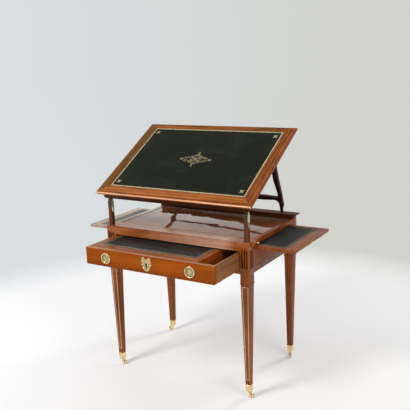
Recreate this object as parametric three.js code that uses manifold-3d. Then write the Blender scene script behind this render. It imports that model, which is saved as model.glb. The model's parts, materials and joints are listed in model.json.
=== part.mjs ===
// An architect's table: a leather-lined writing top on two rising front posts and a rear strut,
// over a body with a writing drawer, two side slides, tapered legs and brass casters.
// Millimetres, +Z up, the drawer front faces -Y, and the body's footprint is centred on X and Y.
import * as THREE from "three";
import { mergeVertices } from "three/addons/utils/BufferGeometryUtils.js";
import Module from "manifold-3d";

const wasm = await Module();
wasm.setup();

// Shared sizes
const fitGap = 0.3;
const runGap = 0.6;
const cutOverrun = 2;
const bodyWidth = 782;
const bodyDepth = 512;
const legSize = 48;

// The stack of heights, from the floor to the fixed top
const apronBottom = 597;
const sillHeight = 16.5;
const sillGap = 1.5;
const drawerHeight = 80;
const drawerHeadroom = 2.5;
const drawerReveal = 6;
const bearerThickness = 8;
const slideThickness = 14;
const slideGap = 0.5;
const slideHeadroom = 1;
const fixedTopThickness = 21.5;
const bandHeight = 27;

// Legs
const neckInset = 1;
const neckHeight = 41;
const collarHeight = 8;
const shaftTopSize = 44;
const shaftFootSize = 25;
const sabotTop = 66;
const tenonTopSize = 21.5;
const tenonFootSize = 19.5;
const fluteRadius = 5;
const fluteDepth = 2;
const fluteMargin = 7;
const fluteFootMargin = 25;
const stringWidth = 2.2;
const stringThickness = 0.7;
const stringProud = 0.2;
const stringTopMargin = 9;
const stringFootMargin = 24;
const stringTopInset = 7;
const stringFootInset = 4.5;

// Brass shoes and casters
const sabotBottom = 32;
const sabotLipSize = 28;
const sabotTopSize = 26;
const sabotFootSize = 24.5;
const sabotLipHeight = 4;
const sabotFloor = 3;
const wheelRadius = 13;
const wheelWidth = 10;
const wheelEdge = 1.8;
const axleRadius = 1.6;
const axleGap = 0.3;
const forkPlateRadius = 10.5;
const forkPlateHeight = 3.6;
const forkCheek = 2;
const forkSideGap = 0.6;
const forkEnd = 4.5;
const forkNeck = 6;
const casterTrail = 12;
const casterStemRadius = 3;
const casterStemHeight = 12;

// Front rail, side strips, aprons and fixed top
const railBackDepth = 73;
const railLowerDepth = 24;
const beadHeight = 4.5;
const quirkHeight = 1.4;
const quirkDepth = 1.3;
const apronThickness = 20;
const leftStripWidth = 30;
const rightStripWidth = 18;
const grooveWidth = 6;
const grooveDepth = 12;
const sillThickness = 22;
const runnerWidth = 46;
const guideWidth = 14.8;

// Rear ledge
const ledgeDepth = 51;
const ledgeHeight = 26;
const ledgeOverhang = 20;
const ledgeBackInset = 6;
const ledgeNose = 3;
const ledgeCapHeight = 6.5;
const ledgeBead = 2.5;

// Posts that carry the front of the writing top, and their catches
const postSize = 20;
const postInset = 19;
const postRise = 162;
const postLength = 146;
const capGrow = 0.2;
const capHeight = 34;
const capShoulderDrop = 42.5;
const capNeckDepth = 12;
const capEyeRadius = 9.5;
const capTongueWidth = 12;
const capTongueLength = 20;
const capTongueThickness = 1.2;
const capScrewRadius = 1.8;
const capScrewDepth = 3;
const capScrewRise = 5;
const pinRadius = 3;
const pinReach = 6;
const pinGap = 0.5;
const wellDepth = 44;
const catchRadius = 2.4;
const catchKnobRadius = 4.6;
const catchReach = 19;
const catchRoseRadius = 5.5;
const catchRoseThickness = 1.4;
const catchTravel = 6;
const catchBack = 52;
const catchDrop = 7.5;
const catchArmWidth = 8;
const catchArmHeight = 5;

// Tilting writing top, measured up its slope from the pivot line of the posts
const tiltAngle = THREE.MathUtils.degToRad(29.84);
const topSideOverhang = 30;
const topFrontOverhang = 15;
const topBackOverhang = 30;
const pivotSetback = 29;
const subFrameDepth = 522;
const subFrameBelow = 14;
const subFrameThickness = 24.7;
const topThickness = 20;
const topNose = 7;
const topEase = 1.5;
const topCove = 3.5;
const topCoveInset = 5;
const topUndercut = 13;
const frameFrontRail = 47;
const frameSideRail = 46;
const frameRearRail = 46;
const slotFront = 24;
const slotBack = 10.5;
const leatherThickness = 1;
const leatherRecess = 1.2;
const topLeatherSide = 54.5;
const topLeatherFront = 58;
const topLeatherBack = 38;

// Strut under the writing top
const strutHingeSetback = 50;
const strutBelowPivot = 2;
const strutSideGap = 5.5;
const strutThickness = 16;
const strutHipInset = 3.5;
const strutHipWidth = 26.5;
const strutShankWidth = 20.5;
const strutSwellLow = 108;
const strutSwellHigh = 175;
const strutTipInset = 9;
const strutTipHeight = 6;
const strutBumpProud = 1.8;
const strutBumpRise = 36;
const strutBumpLength = 20;
const strutBarRise = 70.5;
const strutBarHeight = 24;
const strutBarEndHeight = 17;
const strutBarTaper = 90;
const strutFillet = 22;
const strutPinRadius = 4;
const strutPinReach = 8;
const strutFootGap = 0.4;
const strutFootSetback = 26;

// Side slides
const slideLength = 380;
const slideSideGap = 2;
const leftSlideOut = 150;
const rightSlideOut = 192;
const slideLeatherEdge = 20;
const slideLeatherEnd = 47;
const slideLeatherLength = 280;
const slideKnobRadius = 4;
const slideKnobStem = 1.6;
const slideKnobReach = 9;
const slideKnobSeat = 8;
const slideKnobSetback = 216;

// Drawer
const drawerOut = 214;
const drawerSideGap = 2;
const drawerFrontThickness = 20;
const drawerSideThickness = 10;
const drawerDepth = 440;
const drawerBackThickness = 10;
const drawerBottomThickness = 5;
const drawerBottomRise = 2.5;
const compartmentWidth = 83;
const dividerThickness = 8;
const boardThickness = 13;
const boardDepth = 300;
const boardLedgeWidth = 8;
const boardLedgeHeight = 5;
const boardLeatherFront = 46;
const boardLeatherSide = 20;
const boardLeatherBack = 45;
const lockWidth = 60;
const lockHeight = 40;
const lockDepth = 13;
const lockDrop = 15;

// Drawer brasses
const handleInset = 117;
const plateRadius = 18.6;
const plateThickness = 1.6;
const plateRim = 1;
const plateRosette = 2.4;
const ringRadius = 22.8;
const ringWire = 2.3;
const ringStandoff = 4.2;
const bossWidth = 6;
const bossWall = 1.3;
const bossHoleRadius = 3;
const escutcheonWidth = 54;
const escutcheonHeight = 68;
const escutcheonRaise = 4;
const escutcheonThickness = 1.6;
const keyholeRadius = 4.4;
const keyholeSlot = 3.6;
const keyholeLength = 15;
const keyholeDepth = 10;

// Places worked out from the sizes
const halfWidth = bodyWidth / 2;
const halfDepth = bodyDepth / 2;
const legInnerX = halfWidth - legSize;
const legInnerY = halfDepth - legSize;
const drawerLow = apronBottom + sillHeight + sillGap;
const runnerTop = drawerLow - slideGap;
const drawerTop = drawerLow + drawerHeight;
const openingTop = drawerTop + drawerReveal;
const bearerBottom = drawerTop + drawerHeadroom;
const bearerTop = bearerBottom + bearerThickness;
const slideBottom = bearerTop + slideGap;
const slideTop = slideBottom + slideThickness;
const topUnder = slideTop + slideHeadroom;
const bodyTop = topUnder + fixedTopThickness;
const dieTop = bodyTop - bandHeight;
const railBackY = -halfDepth + railBackDepth;
const postX = halfWidth - postInset;
const postY = -halfDepth + postInset;
const pivotZ = bodyTop + postRise;
const shoulderZ = pivotZ - capShoulderDrop;
const woodTopZ = shoulderZ - capHeight;
const wellHalf = postSize / 2 + runGap;
const ledgeTopZ = bodyTop + ledgeHeight;
const ledgeFrontY = halfDepth - ledgeDepth;
const rearRailY = ledgeFrontY - ledgeNose;
const wellFloor = apronBottom - wellDepth;
const handleX = legInnerX - drawerSideGap - handleInset;
const dividerX = legInnerX - drawerSideGap - drawerSideThickness - compartmentWidth - dividerThickness;
const strutFromPivot = subFrameDepth - pivotSetback - frameRearRail - strutHingeSetback;

const finishes = {
  mahogany: { color: 0x9c4d1c, roughness: 0.28, metalness: 0 },
  glossy: { color: 0x8c4a26, roughness: 0.06, metalness: 0 },
  inner: { color: 0x7d4a2c, roughness: 0.55, metalness: 0 },
  dark: { color: 0x33180e, roughness: 0.4, metalness: 0 },
  leather: { color: 0x22261f, roughness: 0.5, metalness: 0 },
  brass: { color: 0xc9a35a, roughness: 0.25, metalness: 1 },
};

// Shape helpers
function box(x0, x1, y0, y1, z0, z1) {
  const shape = new THREE.BoxGeometry(x1 - x0, y1 - y0, z1 - z0);
  return shape.translate((x0 + x1) / 2, (y0 + y1) / 2, (z0 + z1) / 2);
}

// A cylinder between two places on the X axis.
function rodX(x0, x1, y, z, radius, sides) {
  const shape = new THREE.CylinderGeometry(radius, radius, x1 - x0, sides);
  return shape.rotateZ(-Math.PI / 2).translate((x0 + x1) / 2, y, z);
}

// A cylinder between two heights.
function rodZ(x, y, z0, z1, radius, sides) {
  const shape = new THREE.CylinderGeometry(radius, radius, z1 - z0, sides);
  return shape.rotateX(Math.PI / 2).translate(x, y, (z0 + z1) / 2);
}

// A closed body through level rectangles, each [z, x0, x1, y0, y1], from the lowest up.
function stack(levels) {
  const points = levels.flatMap(([z, x0, x1, y0, y1]) => [x0, y0, z, x1, y0, z, x1, y1, z, x0, y1, z]);
  const faces = [0, 2, 1, 0, 3, 2];
  for (let level = 0; level < levels.length - 1; level++) {
    for (let side = 0; side < 4; side++) {
      const a = level * 4 + side;
      const b = level * 4 + ((side + 1) % 4);
      faces.push(a, b, b + 4, a, b + 4, a + 4);
    }
  }
  const last = (levels.length - 1) * 4;
  faces.push(last, last + 1, last + 2, last, last + 2, last + 3);
  const shape = new THREE.BufferGeometry();
  shape.setAttribute("position", new THREE.Float32BufferAttribute(points, 3));
  shape.setIndex(faces);
  return shape;
}

// Square levels round one axis, each [z, size].
function squareStack(levels) {
  return stack(levels.map(([z, size]) => [z, -size / 2, size / 2, -size / 2, size / 2]));
}

// A flat outline of [y, z] points run along X.
function prismX(points, x0, x1) {
  const outline = new THREE.Shape(points.map(([y, z]) => new THREE.Vector2(y, z)));
  const shape = new THREE.ExtrudeGeometry(outline, { depth: x1 - x0, bevelEnabled: false });
  return shape.rotateX(Math.PI / 2).rotateZ(Math.PI / 2).translate(x0, 0, 0);
}

// A flat outline of [x, z] points given a thickness along Y, from y0 to y1.
function prismY(outline, y0, y1, curveSteps) {
  const shape = new THREE.ExtrudeGeometry(outline, {
    depth: y1 - y0,
    bevelEnabled: false,
    curveSegments: curveSteps,
  });
  return shape.rotateX(Math.PI / 2).translate(0, y1, 0);
}

// A turned body, from [radius, height] points that start and end on the axis, pointing along +Z.
function turned(points, sides) {
  const profile = points.map(([radius, height]) => new THREE.Vector2(radius, height));
  return new THREE.LatheGeometry(profile, sides).rotateX(Math.PI / 2);
}

function solidOf(geometry) {
  const bare = geometry.clone();
  bare.deleteAttribute("normal");
  bare.deleteAttribute("uv");
  const merged = mergeVertices(bare);
  const corners = merged.index.array;
  const kept = [];
  for (let i = 0; i < corners.length; i += 3) {
    const [a, b, c] = [corners[i], corners[i + 1], corners[i + 2]];
    if (a !== b && b !== c && c !== a) kept.push(a, b, c);
  }
  return new wasm.Manifold(
    new wasm.Mesh({
      numProp: 3,
      vertProperties: merged.attributes.position.array,
      triVerts: new Uint32Array(kept),
    }),
  );
}

function geometryOf(solid) {
  const mesh = solid.getMesh();
  const shape = new THREE.BufferGeometry();
  shape.setAttribute("position", new THREE.BufferAttribute(new Float32Array(mesh.vertProperties), 3));
  shape.setIndex(new THREE.BufferAttribute(new Uint32Array(mesh.triVerts), 1));
  return shape;
}

function join(first, ...others) {
  return geometryOf(others.reduce((whole, next) => whole.add(solidOf(next)), solidOf(first)));
}

function cut(first, ...cutters) {
  return geometryOf(cutters.reduce((whole, next) => whole.subtract(solidOf(next)), solidOf(first)));
}

function piece(parent, name, geometry, finish) {
  const flat = geometry.index ? geometry.toNonIndexed() : geometry;
  flat.computeVertexNormals();
  const mesh = new THREE.Mesh(flat, new THREE.MeshStandardMaterial(finishes[finish]));
  mesh.name = name;
  parent.add(mesh);
  return mesh;
}

function groupAt(parent, x, y, z) {
  const group = new THREE.Group();
  group.position.set(x, y, z);
  parent.add(group);
  return group;
}

// Legs: a square die, a neck, a collar and a tapered shaft that ends in a tenon for the shoe.
function shaftSizeAt(z) {
  const shaftTop = apronBottom - neckHeight - collarHeight;
  const share = (z - sabotTop) / (shaftTop - sabotTop);
  return shaftFootSize + (shaftTopSize - shaftFootSize) * share;
}

function legBody(topZ) {
  const neckBottom = apronBottom - neckHeight;
  const shaftTop = neckBottom - collarHeight;
  const tenonEnd = sabotBottom + sabotFloor + fitGap;
  const bore = rodZ(0, 0, sabotBottom, sabotBottom + casterStemHeight + fitGap, casterStemRadius + axleGap, 12);
  const body = squareStack([
    [tenonEnd, tenonFootSize],
    [sabotTop, tenonTopSize],
    [sabotTop + fitGap, tenonTopSize],
    [sabotTop + fitGap, shaftSizeAt(sabotTop + fitGap)],
    [shaftTop, shaftTopSize],
    [shaftTop, legSize],
    [neckBottom, legSize],
    [neckBottom, legSize - 2 * neckInset],
    [apronBottom, legSize - 2 * neckInset],
    [apronBottom, legSize],
    [topZ, legSize],
  ]);
  return cut(body, bore);
}

// One flute of a die, upright with round ends, cut into the face at +Y of the leg's own frame.
function fluteCutter(offset) {
  const fluteTop = dieTop - fluteMargin;
  const fluteFoot = apronBottom + fluteFootMargin;
  const cutter = new THREE.CapsuleGeometry(fluteRadius, fluteTop - fluteFoot - 2 * fluteRadius, 3, 10).rotateX(Math.PI / 2);
  const faceY = legSize / 2 + fluteRadius - fluteDepth;
  return cutter.translate(offset, faceY, (fluteTop + fluteFoot) / 2);
}

function flutes(turn) {
  const pitch = legSize / 4;
  return [-pitch, 0, pitch].map((offset) => fluteCutter(offset).rotateZ(turn));
}

// The line of brass let into a front leg: a long narrow loop that follows the taper.
function stringLoop(grow, inner, outer) {
  const shaftTop = apronBottom - neckHeight - collarHeight;
  const topZ = shaftTop - stringTopMargin;
  const footZ = sabotTop + stringFootMargin;
  const topHalf = shaftSizeAt(topZ) / 2 - stringTopInset;
  const footHalf = shaftSizeAt(footZ) / 2 - stringFootInset;
  const lean = Math.atan2((shaftSizeAt(topZ) - shaftSizeAt(footZ)) / 2, topZ - footZ);
  const length = (topZ - footZ) / Math.cos(lean);
  const outline = (step) => [
    new THREE.Vector2(-footHalf - step, -step),
    new THREE.Vector2(footHalf + step, -step),
    new THREE.Vector2(topHalf + step, length + step),
    new THREE.Vector2(-topHalf - step, length + step),
  ];
  const shape = new THREE.Shape(outline(grow));
  shape.holes.push(new THREE.Path(outline(-stringWidth - grow)));
  const loop = prismY(shape, -outer, -inner, 1);
  return loop.rotateX(lean).translate(0, -shaftSizeAt(footZ) / 2, footZ);
}

function addLeg(table, name, sideX, sideY) {
  const x = sideX * (halfWidth - legSize / 2);
  const y = sideY * (halfDepth - legSize / 2);
  const isFront = sideY < 0;
  let body = legBody(isFront ? dieTop : bodyTop);
  if (isFront) {
    const wellX = sideX * postX - x;
    const wellY = postY - y;
    const well = box(
      wellX - wellHalf, wellX + wellHalf,
      wellY - wellHalf, wellY + wellHalf,
      wellFloor, dieTop + cutOverrun,
    );
    const groove = stringLoop(fitGap, stringProud - stringThickness - fitGap, cutOverrun);
    body = cut(body, well, groove, ...flutes(Math.PI), ...flutes((-sideX * Math.PI) / 2));
  }
  const leg = groupAt(table, x, y, 0);
  piece(leg, "leg_" + name, body, "mahogany");
  if (isFront) {
    piece(leg, "stringing_" + name, stringLoop(0, stringProud - stringThickness, stringProud), "brass");
  }
  addSabot(leg, name);
  return leg;
}

function addSabot(leg, name) {
  const outer = squareStack([
    [sabotBottom, sabotFootSize],
    [sabotTop - sabotLipHeight, sabotTopSize],
    [sabotTop - sabotLipHeight, sabotLipSize],
    [sabotTop, sabotLipSize],
  ]);
  const hollow = squareStack([
    [sabotBottom + sabotFloor, tenonFootSize + 2 * fitGap],
    [sabotTop, tenonTopSize + 2 * fitGap],
    [sabotTop + cutOverrun, tenonTopSize + 2 * fitGap],
  ]);
  const stemHole = rodZ(
    0, 0, sabotBottom - cutOverrun, sabotBottom + sabotFloor + cutOverrun,
    casterStemRadius + axleGap, 12,
  );
  piece(leg, "sabot_" + name, cut(outer, hollow, stemHole), "brass");
}

// Casters: a fork that turns on its stem, and a wheel that turns on the fork's axle.
function addCaster(table, name, sideX, sideY, heading) {
  const x = sideX * (halfWidth - legSize / 2);
  const y = sideY * (halfDepth - legSize / 2);
  const fork = groupAt(table, x, y, 0);
  fork.rotation.z = heading;
  const plateTop = sabotBottom - fitGap;
  const plateBottom = plateTop - forkPlateHeight;
  const cheekIn = wheelWidth / 2 + forkSideGap;
  const cheekOut = cheekIn + forkCheek;
  const side = new THREE.Shape();
  side.moveTo(-forkNeck, plateBottom + forkPlateHeight / 2);
  side.lineTo(casterTrail - forkEnd, wheelRadius);
  side.absarc(casterTrail, wheelRadius, forkEnd, Math.PI, 2 * Math.PI, false);
  side.lineTo(forkNeck, plateBottom + forkPlateHeight / 2);
  side.closePath();
  const cheeks = [prismY(side, cheekIn, cheekOut, 4), prismY(side, -cheekOut, -cheekIn, 4)];
  const axle = rodX(-cheekOut, cheekOut, 0, 0, axleRadius, 10)
    .rotateZ(Math.PI / 2)
    .translate(casterTrail, 0, wheelRadius);
  const plate = rodZ(0, 0, plateBottom, plateTop, forkPlateRadius, 20);
  const stem = rodZ(0, 0, plateBottom, sabotBottom + casterStemHeight, casterStemRadius, 12);
  piece(fork, "caster_fork_" + name, join(plate, stem, axle, ...cheeks), "brass");

  const half = wheelWidth / 2;
  const hub = axleRadius + axleGap;
  const rim = new THREE.LatheGeometry(
    [
      [hub, -half],
      [wheelRadius - wheelEdge, -half],
      [wheelRadius, -half + wheelEdge],
      [wheelRadius, half - wheelEdge],
      [wheelRadius - wheelEdge, half],
      [hub, half],
      [hub, -half],
    ].map(([radius, along]) => new THREE.Vector2(radius, along)),
    20,
  );
  piece(fork, "caster_wheel_" + name, rim.translate(casterTrail, 0, wheelRadius), "brass");
}

// Front rail: a moulded band over the legs, a deeper part between them and a board behind.
function addFrontRail(table) {
  const front = -halfDepth;
  const quirkTop = bodyTop - beadHeight;
  const beadRadius = beadHeight / 2;
  const bead = [-0.5, 0, 0.5, 1].map((step) => {
    const angle = Math.PI - (step * Math.PI) / 2;
    return [front + beadRadius + beadRadius * Math.cos(angle), bodyTop - beadRadius + beadRadius * Math.sin(angle)];
  });
  const band = prismX(
    [
      [front, dieTop + fitGap],
      [-legInnerY, dieTop + fitGap],
      [-legInnerY, topUnder],
      [railBackY, topUnder],
      [railBackY, bodyTop],
      ...bead.reverse(),
      [front + quirkDepth, quirkTop],
      [front + quirkDepth, quirkTop - quirkHeight],
      [front, quirkTop - quirkHeight],
    ],
    -halfWidth, halfWidth,
  );
  const lower = box(
    -legInnerX + fitGap, legInnerX - fitGap,
    front, front + railLowerDepth,
    openingTop, topUnder,
  );
  const wells = [-1, 1].map((side) =>
    box(
      side * postX - wellHalf, side * postX + wellHalf,
      postY - wellHalf, postY + wellHalf,
      dieTop - cutOverrun, bodyTop + cutOverrun,
    ),
  );
  piece(table, "front_rail", cut(join(band, lower), ...wells, ...catchSeats()), "mahogany");
}

function addAprons(table) {
  const endY = legInnerY - fitGap;
  for (const [name, side] of [["left", -1], ["right", 1]]) {
    const outer = side * halfWidth;
    const inner = side * (halfWidth - apronThickness);
    const [x0, x1] = side < 0 ? [outer, inner] : [inner, outer];
    piece(table, "apron_" + name, box(x0, x1, -endY, endY, apronBottom, bearerTop), "mahogany");
  }
  const endX = legInnerX - fitGap;
  piece(
    table, "apron_back",
    box(-endX, endX, halfDepth - apronThickness, halfDepth, apronBottom, bodyTop), "mahogany",
  );
}

// The frame under the drawer: a sill between the front legs and a runner along each apron.
function addDrawerFrame(table) {
  const endX = legInnerX - fitGap;
  const endY = legInnerY - fitGap;
  const front = -halfDepth;
  const sillBack = front + sillThickness;
  const sillTop = apronBottom + sillHeight;
  const out = halfWidth - apronThickness - fitGap;
  const inX = halfWidth - apronThickness - runnerWidth;
  const sill = box(-endX, endX, front, sillBack, apronBottom, sillTop);
  const runners = [-1, 1].flatMap((side) => {
    const [r0, r1] = side < 0 ? [-out, -inX] : [inX, out];
    const [n0, n1] = side < 0 ? [-endX, -inX] : [inX, endX];
    return [
      box(r0, r1, -endY, endY, apronBottom, runnerTop),
      box(n0, n1, sillBack - fitGap, -endY + cutOverrun, apronBottom, runnerTop),
    ];
  });
  piece(table, "drawer_frame", join(sill, ...runners), "mahogany");
}

// The board that the slides run on, with a guide strip along its rear edge.
function addSlideBearer(table) {
  const endX = halfWidth - apronThickness - fitGap;
  const endY = legInnerY - fitGap;
  const board = box(-endX, endX, -endY, endY, bearerBottom, bearerTop);
  const guide = box(-endX, endX, endY - guideWidth, endY, bearerTop - fitGap, topUnder - fitGap);
  piece(table, "slide_bearer", join(board, guide), "inner");
}

function addFixedTop(table) {
  const frontY = railBackY + fitGap;
  const rearY = rearRailY - fitGap;
  const leftIn = -halfWidth + leftStripWidth;
  const rightIn = halfWidth - rightStripWidth;
  piece(table, "side_rail_left", box(-halfWidth, leftIn, frontY, rearY, topUnder, bodyTop), "mahogany");
  piece(table, "side_rail_right", box(rightIn, halfWidth, frontY, rearY, topUnder, bodyTop), "mahogany");
  const panel = box(leftIn + grooveWidth, rightIn - fitGap, frontY, rearY, topUnder, bodyTop);
  const tongue = box(
    leftIn + fitGap, leftIn + grooveWidth + cutOverrun,
    frontY, rearY, topUnder, bodyTop - grooveDepth,
  );
  piece(table, "top_panel", join(panel, tongue), "glossy");
}

// The fixed top's rear rail, which runs between the rear legs and carries the ledge.
function addRearRail(table) {
  const seamY = legInnerY - fitGap;
  const wide = box(-halfWidth, halfWidth, rearRailY, seamY, topUnder, bodyTop);
  const narrow = box(
    -legInnerX + fitGap, legInnerX - fitGap,
    seamY - cutOverrun, halfDepth - apronThickness - fitGap,
    topUnder, bodyTop,
  );
  piece(table, "rear_rail", join(wide, narrow), "mahogany");
}

function addRearLedge(table) {
  const base = bodyTop + fitGap;
  const capBottom = ledgeTopZ - ledgeCapHeight;
  const over = ledgeOverhang;
  const rect = (grow) => [
    -halfWidth - grow, halfWidth + grow,
    ledgeFrontY - Math.min(grow, ledgeNose), halfDepth - ledgeBackInset + Math.min(grow, ledgeNose),
  ];
  const body = stack([
    [base, ...rect(0)],
    [capBottom - ledgeBead, ...rect(0)],
    [capBottom - ledgeBead, ...rect(ledgeNose)],
    [capBottom, ...rect(ledgeNose)],
    [capBottom + ledgeCapHeight / 3, ...rect(over - ledgeCapHeight / 6)],
    [ledgeTopZ - ledgeCapHeight / 4, ...rect(over)],
    [ledgeTopZ, ...rect(over - ledgeCapHeight / 4)],
  ]);
  piece(table, "rear_ledge", body, "mahogany");
}

// Catches: a knobbed bolt in each end of the front rail, with an arm that bears on the post.
function catchPlace() {
  return {
    y: -halfDepth + catchBack,
    z: bodyTop - catchDrop,
    armX: postX - catchArmWidth / 2 - catchTravel / 2,
  };
}

function catchSeats() {
  const { y, z, armX } = catchPlace();
  return [-1, 1].flatMap((side) => {
    const reach = [side * armX, side * (halfWidth + cutOverrun)].sort((a, b) => a - b);
    const bore = rodX(reach[0], reach[1], y, z, catchRadius + axleGap, 12);
    const ends = [
      side * (armX - runGap),
      side * (armX + catchArmWidth + catchTravel + runGap),
    ].sort((a, b) => a - b);
    const pocket = box(
      ends[0], ends[1],
      postY + postSize / 2, y + catchRadius + runGap,
      z - catchArmHeight / 2 - runGap, z + catchArmHeight / 2 + runGap,
    );
    return [bore, pocket];
  });
}

function addCatch(table, name, side) {
  const { y, z, armX } = catchPlace();
  const rose = halfWidth + fitGap;
  const ball = rose + catchReach;
  const stem = rodX(armX + catchArmWidth / 2, ball, y, z, catchRadius, 12);
  const roseDisc = rodX(rose, rose + catchRoseThickness, y, z, catchRoseRadius, 16);
  const knob = new THREE.SphereGeometry(catchKnobRadius, 12, 8).translate(ball, y, z);
  const arm = box(
    armX, armX + catchArmWidth,
    postY + postSize / 2 + fitGap, y + catchRadius,
    z - catchArmHeight / 2, z + catchArmHeight / 2,
  );
  const body = join(stem, roseDisc, knob, arm);
  if (side < 0) body.rotateY(Math.PI).translate(0, 0, 2 * z);
  piece(table, "catch_" + name, body, "brass");
}

// Posts: a square wooden rod with a brass cap whose eye carries the front of the writing top.
function addPost(table, name, side) {
  const post = groupAt(table, side * postX, postY, 0);
  const half = postSize / 2;
  const bottomZ = woodTopZ - postLength;
  const wood = box(-half, half, -half, half, bottomZ, woodTopZ - fitGap);
  const tongueHalf = capTongueWidth / 2;
  const tongueBottom = woodTopZ - capTongueLength;
  const recess = box(
    half - capTongueThickness - fitGap, half + cutOverrun,
    -tongueHalf - fitGap, tongueHalf + fitGap,
    tongueBottom - fitGap, woodTopZ + cutOverrun,
  );
  piece(post, "post_" + name, cut(wood, recess), "mahogany");

  const wide = half + capGrow;
  const ferrule = box(-wide, wide, -wide, wide, woodTopZ, shoulderZ);
  const tongue = box(half - capTongueThickness, half, -tongueHalf, tongueHalf, tongueBottom, shoulderZ);
  const neckHalf = capNeckDepth / 2;
  const neck = box(-half, half, -neckHalf, neckHalf, shoulderZ - cutOverrun, pivotZ);
  const eye = rodX(-half, half, 0, pivotZ, capEyeRadius, 20);
  const pin = rodX(-half - pinReach, half + pinReach, 0, pivotZ, pinRadius, 14);
  const screw = new THREE.CylinderGeometry(capScrewRadius, capScrewRadius, 2 * capScrewDepth, 10).translate(
    0, -neckHalf, shoulderZ + capScrewRise,
  );
  piece(post, "post_cap_" + name, cut(join(ferrule, tongue, neck, eye, pin), screw), "brass");
}

// Writing top: a moulded board over a sub-frame, in a frame whose X axis is the pivot line.
function addWritingTop(table) {
  const top = groupAt(table, 0, postY, pivotZ);
  top.rotation.x = tiltAngle;
  const frameTop = subFrameThickness - subFrameBelow;
  const frameFront = -pivotSetback;
  const frameBack = frameFront + subFrameDepth;
  const boardUnder = frameTop + fitGap;
  const boardTop = boardUnder + topThickness;
  const boardFront = frameFront - topFrontOverhang;
  const boardBack = frameBack + topBackOverhang;
  const boardHalf = halfWidth + topSideOverhang;
  const rect = (inset) => [
    -boardHalf + inset, boardHalf - inset,
    boardFront + inset, boardBack - inset,
  ];
  const noseBottom = boardTop - topEase - topNose;
  const board = stack([
    [boardUnder, ...rect(topUndercut)],
    [noseBottom - topCove, ...rect(topCoveInset)],
    [noseBottom, ...rect(0)],
    [boardTop - topEase, ...rect(0)],
    [boardTop, ...rect(topEase)],
  ]);
  const leatherBox = (gap, z0, z1) =>
    box(
      -boardHalf + topLeatherSide + gap, boardHalf - topLeatherSide - gap,
      boardFront + topLeatherFront + gap, boardBack - topLeatherBack - gap,
      z0, z1,
    );
  const recessZ = boardTop - leatherRecess;
  piece(top, "writing_top", cut(board, leatherBox(0, recessZ, boardTop + cutOverrun)), "mahogany");
  const leatherZ = recessZ + (leatherRecess - leatherThickness) / 2;
  piece(top, "writing_leather", leatherBox(fitGap, leatherZ, leatherZ + leatherThickness), "leather");

  const outer = box(-halfWidth, halfWidth, frameFront, frameBack, -subFrameBelow, frameTop);
  const inner = box(
    -halfWidth + frameSideRail, halfWidth - frameSideRail,
    frameFront + frameFrontRail, frameBack - frameRearRail,
    -subFrameBelow - cutOverrun, frameTop + cutOverrun,
  );
  const slots = [-1, 1].flatMap((side) => {
    const slotHalf = postSize / 2 + 2 * runGap;
    const pinHalf = postSize / 2 + pinReach + runGap;
    return [
      box(
        side * postX - slotHalf, side * postX + slotHalf,
        -slotFront, slotBack, -subFrameBelow - cutOverrun, frameTop + cutOverrun,
      ),
      rodX(side * postX - pinHalf, side * postX + pinHalf, 0, 0, pinRadius + pinGap, 14),
    ];
  });
  const hingeHoles = [-1, 1].map((side) => {
    const inX = halfWidth - frameSideRail;
    const ends = [side * (inX - cutOverrun), side * (inX + strutPinReach + runGap)].sort((a, b) => a - b);
    return rodX(ends[0], ends[1], strutFromPivot, -strutBelowPivot, strutPinRadius + pinGap, 14);
  });
  piece(top, "sub_frame", cut(outer, inner, ...slots, ...hingeHoles), "mahogany");
  addStrut(top);
}

// Where the strut hangs from and stands, in the body's frame: its swing and length follow.
function strutPlace() {
  const [c, s] = [Math.cos(tiltAngle), Math.sin(tiltAngle)];
  const hingeY = postY + strutFromPivot * c + strutBelowPivot * s;
  const hingeZ = pivotZ + strutFromPivot * s - strutBelowPivot * c;
  const footY = halfDepth - strutFootSetback;
  const footZ = ledgeTopZ + strutFootGap + strutThickness / 2;
  return {
    length: Math.hypot(footY - hingeY, hingeZ - footZ),
    swing: Math.atan2(footY - hingeY, hingeZ - footZ),
  };
}

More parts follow.
